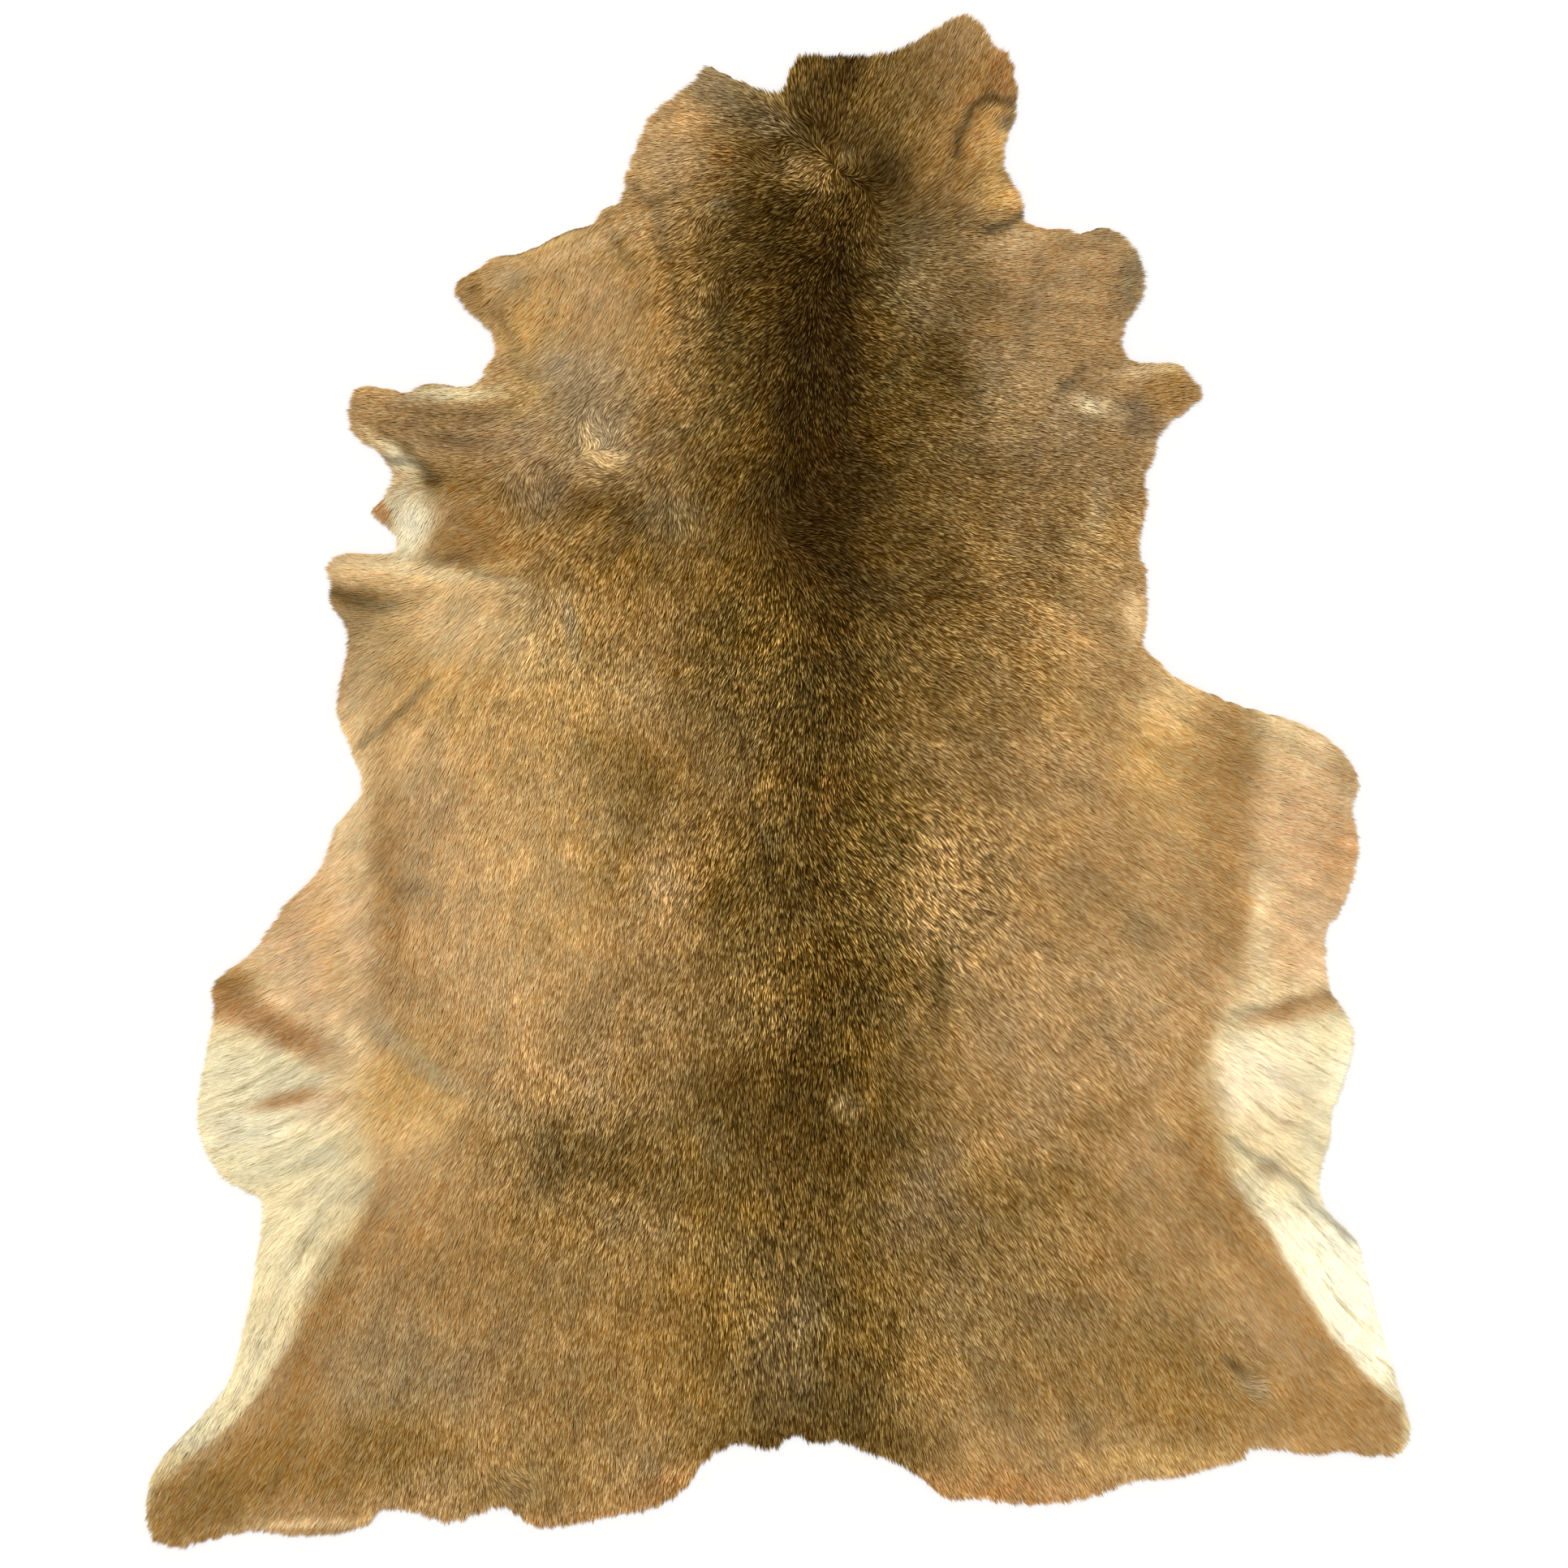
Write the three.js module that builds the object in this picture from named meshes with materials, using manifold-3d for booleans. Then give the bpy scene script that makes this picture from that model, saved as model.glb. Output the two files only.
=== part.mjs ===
// A deerhide rug: one tanned skin with its hair left on, lying flat with the hair side up.
// Millimetres. +Z is up, +Y points to the neck and +X to the right of someone who stands at the tail.

import * as THREE from 'three';
import { mergeVertices } from 'three/addons/utils/BufferGeometryUtils.js';
import Module from 'manifold-3d';

const wasm = await Module();
wasm.setup();

// Driving dimensions

const HIDE_LENGTH = 1260; // from the tip of the neck to the tip of the longer hind leg

const SKIN = 2; // the tanned skin
const PILE = 8; // the hair that lies on it, over the back
const RIM_THICKNESS = 3; // skin and hair tips where the hide ends
const RIM_FALL = 30; // how far in from the rim the hair reaches its full depth

const BROAD_STEP = 24; // mesh of the back and belly
const FINE_STEP = 15; // mesh of the neck and shoulders, where the folds are
const FOLDED_FROM = 140; // along the hide, where the folded part begins
const MIDDLE_REACH = 320; // across the hide, how far out the closer columns go
const MIDDLE_STEP = 17;

const LOCK_LEAN = 0.7; // share of a lock's pitch over which it rises
const LAP_RUN = 40; // how far a lapped edge stays raised

const HAIR = { color: 0xa87c48, roughness: 0.85, metalness: 0 };

// The rim, clockwise as seen from above. Each knot is [across, along] from the middle of the hide.
// The hair at the rim stands out in locks: lockPitch is their spacing and lockReach their length.

const RIM = [
  {
    stretch: 'neck, cut end', lockPitch: 15, lockReach: 3,
    knots: [
      [-59, 589], [-39, 579], [1, 565], [7, 579], [17, 595], [40, 595], [91, 598], [113, 608],
      [152, 629], [168, 619], [177, 603], [188, 597],
    ],
  },
  {
    stretch: 'neck, right side', lockPitch: 18, lockReach: 2,
    knots: [[196, 551], [187, 527], [184, 506], [195, 485], [201, 471]],
  },
  {
    stretch: 'right shoulder', lockPitch: 16, lockReach: 2,
    knots: [
      [200, 461], [217, 454], [235, 454], [245, 450], [261, 456], [277, 451], [293, 435],
      [300, 409], [295, 391], [283, 373], [281, 359], [289, 345],
    ],
  },
  {
    stretch: 'right foreleg', lockPitch: 18, lockReach: 2,
    knots: [
      [308, 344], [327, 343], [339, 330], [348, 317], [336, 305], [317, 291], [309, 277],
      [308, 265], [301, 252], [303, 229], [297, 204], [296, 184], [300, 176], [301, 129],
      [298, 110],
    ],
  },
  {
    stretch: 'right flank', lockPitch: 16, lockReach: 3,
    knots: [
      [313, 99], [317, 92], [368, 67], [429, 48], [453, 32], [471, 11], [475, -5], [469, -22],
      [475, -53], [460, -106], [448, -121], [447, -136], [451, -173], [464, -191], [471, -211],
      [455, -266], [451, -273], [452, -291], [446, -309], [443, -342],
    ],
  },
  {
    stretch: 'right hind leg', lockPitch: 24, lockReach: 1,
    knots: [[460, -361], [475, -379], [481, -406], [504, -485], [518, -533], [511, -550]],
  },
  {
    stretch: 'rump, right of the tail', lockPitch: 13, lockReach: 5,
    knots: [
      [491, -555], [463, -550], [441, -553], [410, -549], [385, -549], [381, -557], [360, -563],
      [325, -572], [291, -575], [253, -589], [201, -594], [163, -589], [137, -589], [115, -571],
      [99, -561], [67, -549], [53, -543], [27, -543], [11, -537],
    ],
  },
  {
    stretch: 'rump, left of the tail', lockPitch: 13, lockReach: 5,
    knots: [
      [-5, -549], [-35, -544], [-61, -559], [-73, -577], [-99, -595], [-135, -603],
      [-200, -612], [-227, -596], [-272, -609], [-299, -600], [-328, -599], [-335, -609],
      [-363, -617], [-402, -619], [-432, -615], [-470, -623], [-493, -629], [-515, -619],
    ],
  },
  {
    stretch: 'left hind leg', lockPitch: 24, lockReach: 1,
    knots: [
      [-517, -577], [-507, -555], [-477, -522], [-453, -493], [-440, -451], [-423, -359],
      [-424, -342],
    ],
  },
  {
    stretch: 'left flank', lockPitch: 18, lockReach: 2,
    knots: [
      [-448, -331], [-463, -315], [-475, -287], [-474, -254], [-462, -185], [-465, -172],
      [-453, -156], [-430, -140], [-415, -119], [-400, -96], [-378, -75], [-359, -30],
      [-341, -5], [-349, 23], [-361, 53], [-359, 83], [-353, 109], [-355, 129],
    ],
  },
  {
    stretch: 'left foreleg, lower flap', lockPitch: 18, lockReach: 2,
    knots: [
      [-368, 146], [-366, 163], [-371, 174], [-361, 185], [-312, 191], [-318, 206],
      [-335, 222], [-323, 235], [-316, 253],
    ],
  },
  {
    stretch: 'left foreleg, upper flap', lockPitch: 18, lockReach: 2,
    knots: [
      [-330, 271], [-348, 283], [-353, 301], [-347, 323], [-330, 325], [-302, 320],
      [-290, 327], [-247, 327], [-239, 342],
    ],
  },
  {
    stretch: 'left shoulder', lockPitch: 18, lockReach: 2,
    knots: [
      [-233, 351], [-234, 364], [-244, 377], [-261, 393], [-267, 405], [-255, 417],
      [-240, 425], [-235, 431], [-210, 436], [-175, 453], [-150, 461],
    ],
  },
  {
    stretch: 'neck, left side', lockPitch: 16, lockReach: 3,
    knots: [[-145, 471], [-129, 477], [-126, 496], [-118, 517], [-103, 548], [-75, 570], [-65, 579]],
  },
];

// Where the hide doesn't lie quite flat: middle of each swell, its radius and its height.

const SWELLS = [
  { place: 'neck, right lobe', across: 160, along: 490, radius: 45, rise: 4 },
  { place: 'neck, upper right corner', across: 150, along: 590, radius: 40, rise: 2 },
  { place: 'neck, left lobe', across: -85, along: 530, radius: 50, rise: 3 },
  { place: 'left shoulder', across: -170, along: 405, radius: 55, rise: 3 },
  { place: 'right shoulder', across: 250, along: 405, radius: 45, rise: 3 },
  { place: 'right foreleg', across: 315, along: 320, radius: 25, rise: 2 },
  { place: 'left foreleg, upper flap', across: -305, along: 300, radius: 35, rise: 3 },
  { place: 'left foreleg, lower flap', across: -320, along: 165, radius: 40, rise: 3 },
  { place: 'left flank, behind the foreleg', across: -330, along: 60, radius: 45, rise: 3 },
  { place: 'left belly', across: -430, along: -240, radius: 50, rise: 4 },
  { place: 'right flank', across: 430, along: -20, radius: 60, rise: 3 },
  { place: 'right belly', across: 425, along: -240, radius: 50, rise: 4 },
  { place: 'right hind leg', across: 460, along: -500, radius: 50, rise: 2 },
  { place: 'left hind leg', across: -440, along: -570, radius: 55, rise: 2 },
];

// Creases and laps. A crease is a furrow, or a ridge where its rise is above zero. The lap is how much
// higher the hide stands on the left of the line, going from its start to its end.

const FOLDS = [
  { place: 'tuck in the neck', start: [176, 566], end: [152, 529], width: 9, rise: -3, lap: 0 },
  { place: 'tuck, its branch to the rim', start: [165, 552], end: [195, 560], width: 8, rise: -2, lap: 0 },
  { place: 'neck lapped over the shoulder', start: [165, 447], end: [200, 461], width: 9, rise: -2, lap: 5 },
  { place: 'crease above the right foreleg', start: [236, 311], end: [250, 322], width: 10, rise: -3, lap: 3 },
  { place: 'long crease left of the neck', start: [-109, 492], end: [-88, 443], width: 12, rise: -3, lap: 0 },
  { place: 'the same, lower down', start: [-97, 430], end: [-81, 374], width: 12, rise: -2, lap: 0 },
  { place: 'crease at the neck corner', start: [-141, 464], end: [-136, 440], width: 9, rise: -2, lap: 0 },
  { place: 'crease on the left shoulder', start: [-213, 428], end: [-204, 404], width: 9, rise: -2, lap: 0 },
  { place: 'crease at the shoulder flap', start: [-231, 394], end: [-224, 356], width: 10, rise: -2, lap: 0 },
  { place: 'rolled edge of the upper flap', start: [-330, 277], end: [-275, 258], width: 10, rise: 4, lap: 0 },
  { place: 'ridge of the lower flap', start: [-318, 194], end: [-232, 166], width: 12, rise: 3, lap: 0 },
  { place: 'furrow under the lower flap', start: [-345, 142], end: [-290, 138], width: 11, rise: -3, lap: 0 },
  { place: 'crease behind the foreleg', start: [-305, 70], end: [-332, 30], width: 11, rise: -3, lap: 0 },
  { place: 'furrow across the left belly', start: [-450, -300], end: [-350, -262], width: 16, rise: -3, lap: 0 },
  { place: 'furrow across the right belly', start: [385, -300], end: [450, -360], width: 16, rise: -3, lap: 0 },
  { place: 'scar by the left hind leg', start: [-299, -483], end: [-315, -508], width: 10, rise: -2, lap: 0 },
];

// Long, low waves that leave the pile lumpy: length and height of each, and the way it runs in degrees.

const WAVES = [
  { length: 310, rise: 0.7, heading: 65, shift: 0.4 },
  { length: 190, rise: 0.6, heading: -20, shift: 2.1 },
  { length: 120, rise: 0.5, heading: 110, shift: 4.0 },
  { length: 83, rise: 0.4, heading: 35, shift: 1.3 },
];

// How far a lock stands out of the smooth rim, at a distance run along its stretch. Each lock rises
// slowly and ends sharply, and both their spacing and their length wander.
function lockOffset(run, { lockPitch, lockReach }) {
  const pace = run / lockPitch + 0.35 * Math.sin(run / (2.3 * lockPitch));
  const phase = pace - Math.floor(pace);
  const tooth = phase < LOCK_LEAN ? phase / LOCK_LEAN : (1 - phase) / (1 - LOCK_LEAN);
  const size = 0.65 + 0.35 * Math.sin(run / (3.1 * lockPitch) + 1);
  return lockReach * size * (tooth - 0.5);
}

// The rim as a closed polygon: a smooth curve through every knot, with the locks set out along its
// outward side.
function rimPolygon() {
  const knots = RIM.flatMap((row) => row.knots.map(([across, along]) => new THREE.Vector3(across, along, 0)));
  const curve = new THREE.CatmullRomCurve3(knots, true, 'centripetal');
  const polygon = [];
  let knot = 0;
  for (const row of RIM) {
    let run = 0;
    for (let i = 0; i < row.knots.length; i += 1, knot += 1) {
      const span = knots[knot].distanceTo(knots[(knot + 1) % knots.length]);
      const steps = Math.max(1, Math.round((3 * span) / row.lockPitch));
      for (let step = 0; step < steps; step += 1) {
        const place = (knot + step / steps) / knots.length;
        const tangent = curve.getTangent(place);
        const outward = new THREE.Vector2(-tangent.y, tangent.x);
        const point = curve.getPoint(place);
        const offset = lockOffset(run + (span * step) / steps, row);
        polygon.push(new THREE.Vector2(point.x, point.y).addScaledVector(outward, offset));
      }
      run += span;
    }
  }
  return polygon;
}

// The same polygon at the hide's real length, with the middle of its box at zero.
function fitted(polygon) {
  const box = new THREE.Box2().setFromPoints(polygon);
  const middle = box.getCenter(new THREE.Vector2());
  const scale = HIDE_LENGTH / (box.max.y - box.min.y);
  return polygon.map((point) => point.clone().sub(middle).multiplyScalar(scale));
}

function distanceToSegment(point, start, end) {
  const along = end.clone().sub(start);
  const share = THREE.MathUtils.clamp(point.clone().sub(start).dot(along) / along.lengthSq(), 0, 1);
  return point.distanceTo(start.clone().addScaledVector(along, share));
}

function isInside(point, polygon) {
  let inside = false;
  polygon.forEach((a, i) => {
    const b = polygon[(i + 1) % polygon.length];
    const crosses = a.y > point.y !== b.y > point.y;
    if (crosses && point.x < a.x + ((b.x - a.x) * (point.y - a.y)) / (b.y - a.y)) inside = !inside;
  });
  return inside;
}

// Distance in from the rim, and zero outside it.
function inset(point, polygon) {
  if (!isInside(point, polygon)) return 0;
  return polygon.reduce(
    (least, corner, i) => Math.min(least, distanceToSegment(point, corner, polygon[(i + 1) % polygon.length])),
    Infinity,
  );
}

// What the swells, folds and waves add to the pile at a point.
function relief(point) {
  let rise = 0;
  for (const swell of SWELLS) {
    const away = point.distanceTo(new THREE.Vector2(swell.across, swell.along)) / swell.radius;
    rise += swell.rise * Math.exp(-away * away);
  }
  for (const fold of FOLDS) {
    const start = new THREE.Vector2(...fold.start);
    const end = new THREE.Vector2(...fold.end);
    const away = distanceToSegment(point, start, end);
    const side = end.clone().sub(start).cross(point.clone().sub(start));
    rise += fold.rise * Math.exp(-((away / fold.width) ** 2));
    if (side > 0) rise += fold.lap * Math.exp(-((away / LAP_RUN) ** 2));
  }
  for (const wave of WAVES) {
    const heading = THREE.MathUtils.degToRad(wave.heading);
    const along = point.x * Math.cos(heading) + point.y * Math.sin(heading);
    rise += wave.rise * Math.sin((2 * Math.PI * along) / wave.length + wave.shift);
  }
  return rise;
}

// Height of the hair side: the rim's thickness at the rim, and skin, pile and relief further in.
function hairSide(point, polygon) {
  const depth = THREE.MathUtils.smoothstep(inset(point, polygon), 0, RIM_FALL);
  const full = SKIN + PILE + relief(point);
  return RIM_THICKNESS + (full - RIM_THICKNESS) * depth;
}

// Evenly spaced lines from one value up to another, with the end line left out.
function lines(from, to, step) {
  const count = Math.round((to - from) / step);
  return Array.from({ length: count }, (_, i) => from + ((to - from) * i) / count);
}

// A block that covers the hide, with the hair side as its top and a plain bottom well below the floor.
function hairSideBlock(polygon) {
  const box = new THREE.Box2().setFromPoints(polygon).expandByScalar(BROAD_STEP);
  const columns = [
    ...lines(box.min.x, -MIDDLE_REACH, BROAD_STEP),
    ...lines(-MIDDLE_REACH, MIDDLE_REACH, MIDDLE_STEP),
    ...lines(MIDDLE_REACH, box.max.x, BROAD_STEP),
    box.max.x,
  ];
  const rows = [
    ...lines(box.min.y, FOLDED_FROM, BROAD_STEP),
    ...lines(FOLDED_FROM, box.max.y, FINE_STEP),
    box.max.y,
  ];
  const across = columns.length - 1;
  const along = rows.length - 1;
  const block = new THREE.BoxGeometry(1, 1, 1, across, along, 1);
  const position = block.attributes.position;
  for (let i = 0; i < position.count; i += 1) {
    const x = columns[Math.round((position.getX(i) + 0.5) * across)];
    const y = rows[Math.round((position.getY(i) + 0.5) * along)];
    const isTop = position.getZ(i) > 0;
    position.setXYZ(i, x, y, isTop ? hairSide(new THREE.Vector2(x, y), polygon) : -BROAD_STEP);
  }
  return block;
}

function toSolid(geometry) {
  geometry.deleteAttribute('normal');
  geometry.deleteAttribute('uv');
  const merged = mergeVertices(geometry);
  return new wasm.Manifold(
    new wasm.Mesh({
      numProp: 3,
      vertProperties: Float32Array.from(merged.attributes.position.array),
      triVerts: Uint32Array.from(merged.index.array),
    }),
  );
}

function toGeometry(solid) {
  const mesh = solid.getMesh();
  const geometry = new THREE.BufferGeometry();
  geometry.setAttribute('position', new THREE.Float32BufferAttribute(mesh.vertProperties, 3));
  geometry.setIndex(new THREE.Uint32BufferAttribute(mesh.triVerts, 1));
  geometry.computeVertexNormals();
  return geometry;
}

// The hide stands on z = 0 with its whole underside and is cut to the rim.
function makeHide() {
  const polygon = fitted(rimPolygon());
  const blank = new THREE.ExtrudeGeometry(new THREE.Shape(polygon), { depth: BROAD_STEP, bevelEnabled: false });
  const solid = toSolid(blank).intersect(toSolid(hairSideBlock(polygon)));
  const hide = new THREE.Mesh(toGeometry(solid), new THREE.MeshStandardMaterial(HAIR));
  hide.name = 'hide';
  return hide;
}

const group = new THREE.Group();
group.add(makeHide());

export default group;
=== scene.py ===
"""A deerhide rug: its tanned skin, coat of hair and plain stage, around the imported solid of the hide."""

import dataclasses
import functools
import math

import bpy
import numpy as np
from bpy.props import FloatProperty, FloatVectorProperty, IntProperty, PointerProperty
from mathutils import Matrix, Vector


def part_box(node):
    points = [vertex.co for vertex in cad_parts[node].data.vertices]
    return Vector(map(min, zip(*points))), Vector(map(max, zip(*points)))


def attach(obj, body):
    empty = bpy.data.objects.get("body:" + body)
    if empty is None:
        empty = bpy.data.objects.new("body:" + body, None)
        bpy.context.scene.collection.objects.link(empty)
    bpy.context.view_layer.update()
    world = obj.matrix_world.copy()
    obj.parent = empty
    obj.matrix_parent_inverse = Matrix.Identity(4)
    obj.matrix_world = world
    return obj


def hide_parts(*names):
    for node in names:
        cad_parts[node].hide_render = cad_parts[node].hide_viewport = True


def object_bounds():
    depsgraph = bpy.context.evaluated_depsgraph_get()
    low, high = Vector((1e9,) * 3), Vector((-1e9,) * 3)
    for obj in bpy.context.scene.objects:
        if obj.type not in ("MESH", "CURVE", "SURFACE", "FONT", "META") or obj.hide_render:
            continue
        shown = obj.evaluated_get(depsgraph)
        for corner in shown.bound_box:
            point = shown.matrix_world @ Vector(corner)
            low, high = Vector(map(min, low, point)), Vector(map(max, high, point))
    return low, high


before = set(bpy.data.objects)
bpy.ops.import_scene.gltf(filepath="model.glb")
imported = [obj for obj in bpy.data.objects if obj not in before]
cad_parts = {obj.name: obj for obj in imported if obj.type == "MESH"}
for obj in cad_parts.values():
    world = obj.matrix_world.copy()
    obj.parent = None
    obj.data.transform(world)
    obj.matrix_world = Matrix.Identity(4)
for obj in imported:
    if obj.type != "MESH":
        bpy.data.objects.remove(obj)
CAD_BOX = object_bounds()

bl_info = {
    "name": "Deerhide rug",
    "version": (1, 0, 0),
    "blender": (4, 5, 0),
    "location": "View3D > Sidebar > Deerhide",
    "description": "Makes a tanned deer skin with its hair left on, laid flat on a plain stage",
    "category": "Add Mesh",
}

# Tables are in millimetres, meshes in metres. Across runs to the right and along runs up to the neck.
MM = 0.001

# How much more red, green and blue the warmest blots of a mixed coat have, as shares.
WARM_TINT = np.array([0.03, 0.0, -0.10])

# How much red, green and blue the painted shade of a thin parting between streaks of hair takes away, as
# shares.
PARTING_SHADE = np.array([0.17, 0.22, 0.34])

# The backbone: where it runs, how wide its dark hair is to each side and how dark it is there.
# along, across, half width, depth
BACKBONE = [
    (600, 54, 18, 0.55),
    (576, 51, 22, 0.80),
    (543, 38, 30, 0.62),
    (509, 34, 36, 0.22),
    (476, 33, 38, 0.62),
    (423, 31, 36, 0.95),
    (363, 30, 33, 0.90),
    (309, 34, 38, 0.90),
    (243, 36, 44, 1.00),
    (189, 38, 46, 1.00),
    (136, 44, 46, 0.75),
    (69, 44, 44, 0.50),
    (9, 36, 36, 0.45),
    (-57, 30, 29, 0.32),
    (-140, 26, 29, 0.34),
    (-224, 20, 36, 0.60),
    (-291, 18, 38, 0.50),
    (-357, 16, 34, 0.35),
    (-424, 17, 30, 0.28),
    (-491, 17, 28, 0.30),
    (-550, 27, 30, 0.45),
]

# Colour bands to each side of the backbone, in half widths of its dark hair.
# how far out, pigment
BANDS = [
    (0.0, "core"),
    (0.55, "core"),
    (1.25, "umber"),
    (2.2, "olive"),
    (3.1, "brown"),
    (4.4, "tan"),
    (6.0, "tan"),
]

# Where the brown coat gives way to the pale hair of the belly and the inner legs, from the neck end down.
# along, across, softness, pigment
LEFT_PALE_EDGE = [
    (62, -330, 12, "pale_gold"),
    (56, -324, 12, "pale_gold"),
    (3, -322, 10, "pale_gold"),
    (-51, -331, 12, "pale_gold"),
    (-90, -328, 13, "pale_gold"),
    (-124, -334, 12, "pale_gold"),
    (-191, -338, 11, "pale_gold"),
    (-222, -331, 8, "cream"),
    (-257, -325, 9, "cream"),
    (-286, -325, 9, "cream"),
    (-324, -328, 8, "cream"),
    (-350, -336, 6, "cream"),
    (-397, -362, 5, "cream"),
    (-449, -393, 4, "cream"),
    (-486, -414, 4, "cream"),
    (-523, -445, 4, "cream"),
    (-555, -482, 4, "cream"),
    (-581, -512, 4, "cream"),
]
RIGHT_PALE_EDGE = [
    (92, 396, 12, "pale_gold"),
    (69, 392, 12, "pale_gold"),
    (-14, 388, 12, "pale_gold"),
    (-40, 391, 12, "pale_gold"),
    (-78, 384, 12, "pale_gold"),
    (-107, 383, 11, "pale_gold"),
    (-151, 371, 10, "pale_gold"),
    (-195, 357, 9, "cream"),
    (-226, 347, 7, "white"),
    (-251, 341, 8, "white"),
    (-283, 350, 7, "cream"),
    (-313, 363, 6, "cream"),
    (-375, 407, 5, "white"),
    (-438, 444, 4, "white"),
    (-481, 475, 4, "white"),
    (-513, 512, 4, "cream"),
]

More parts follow.
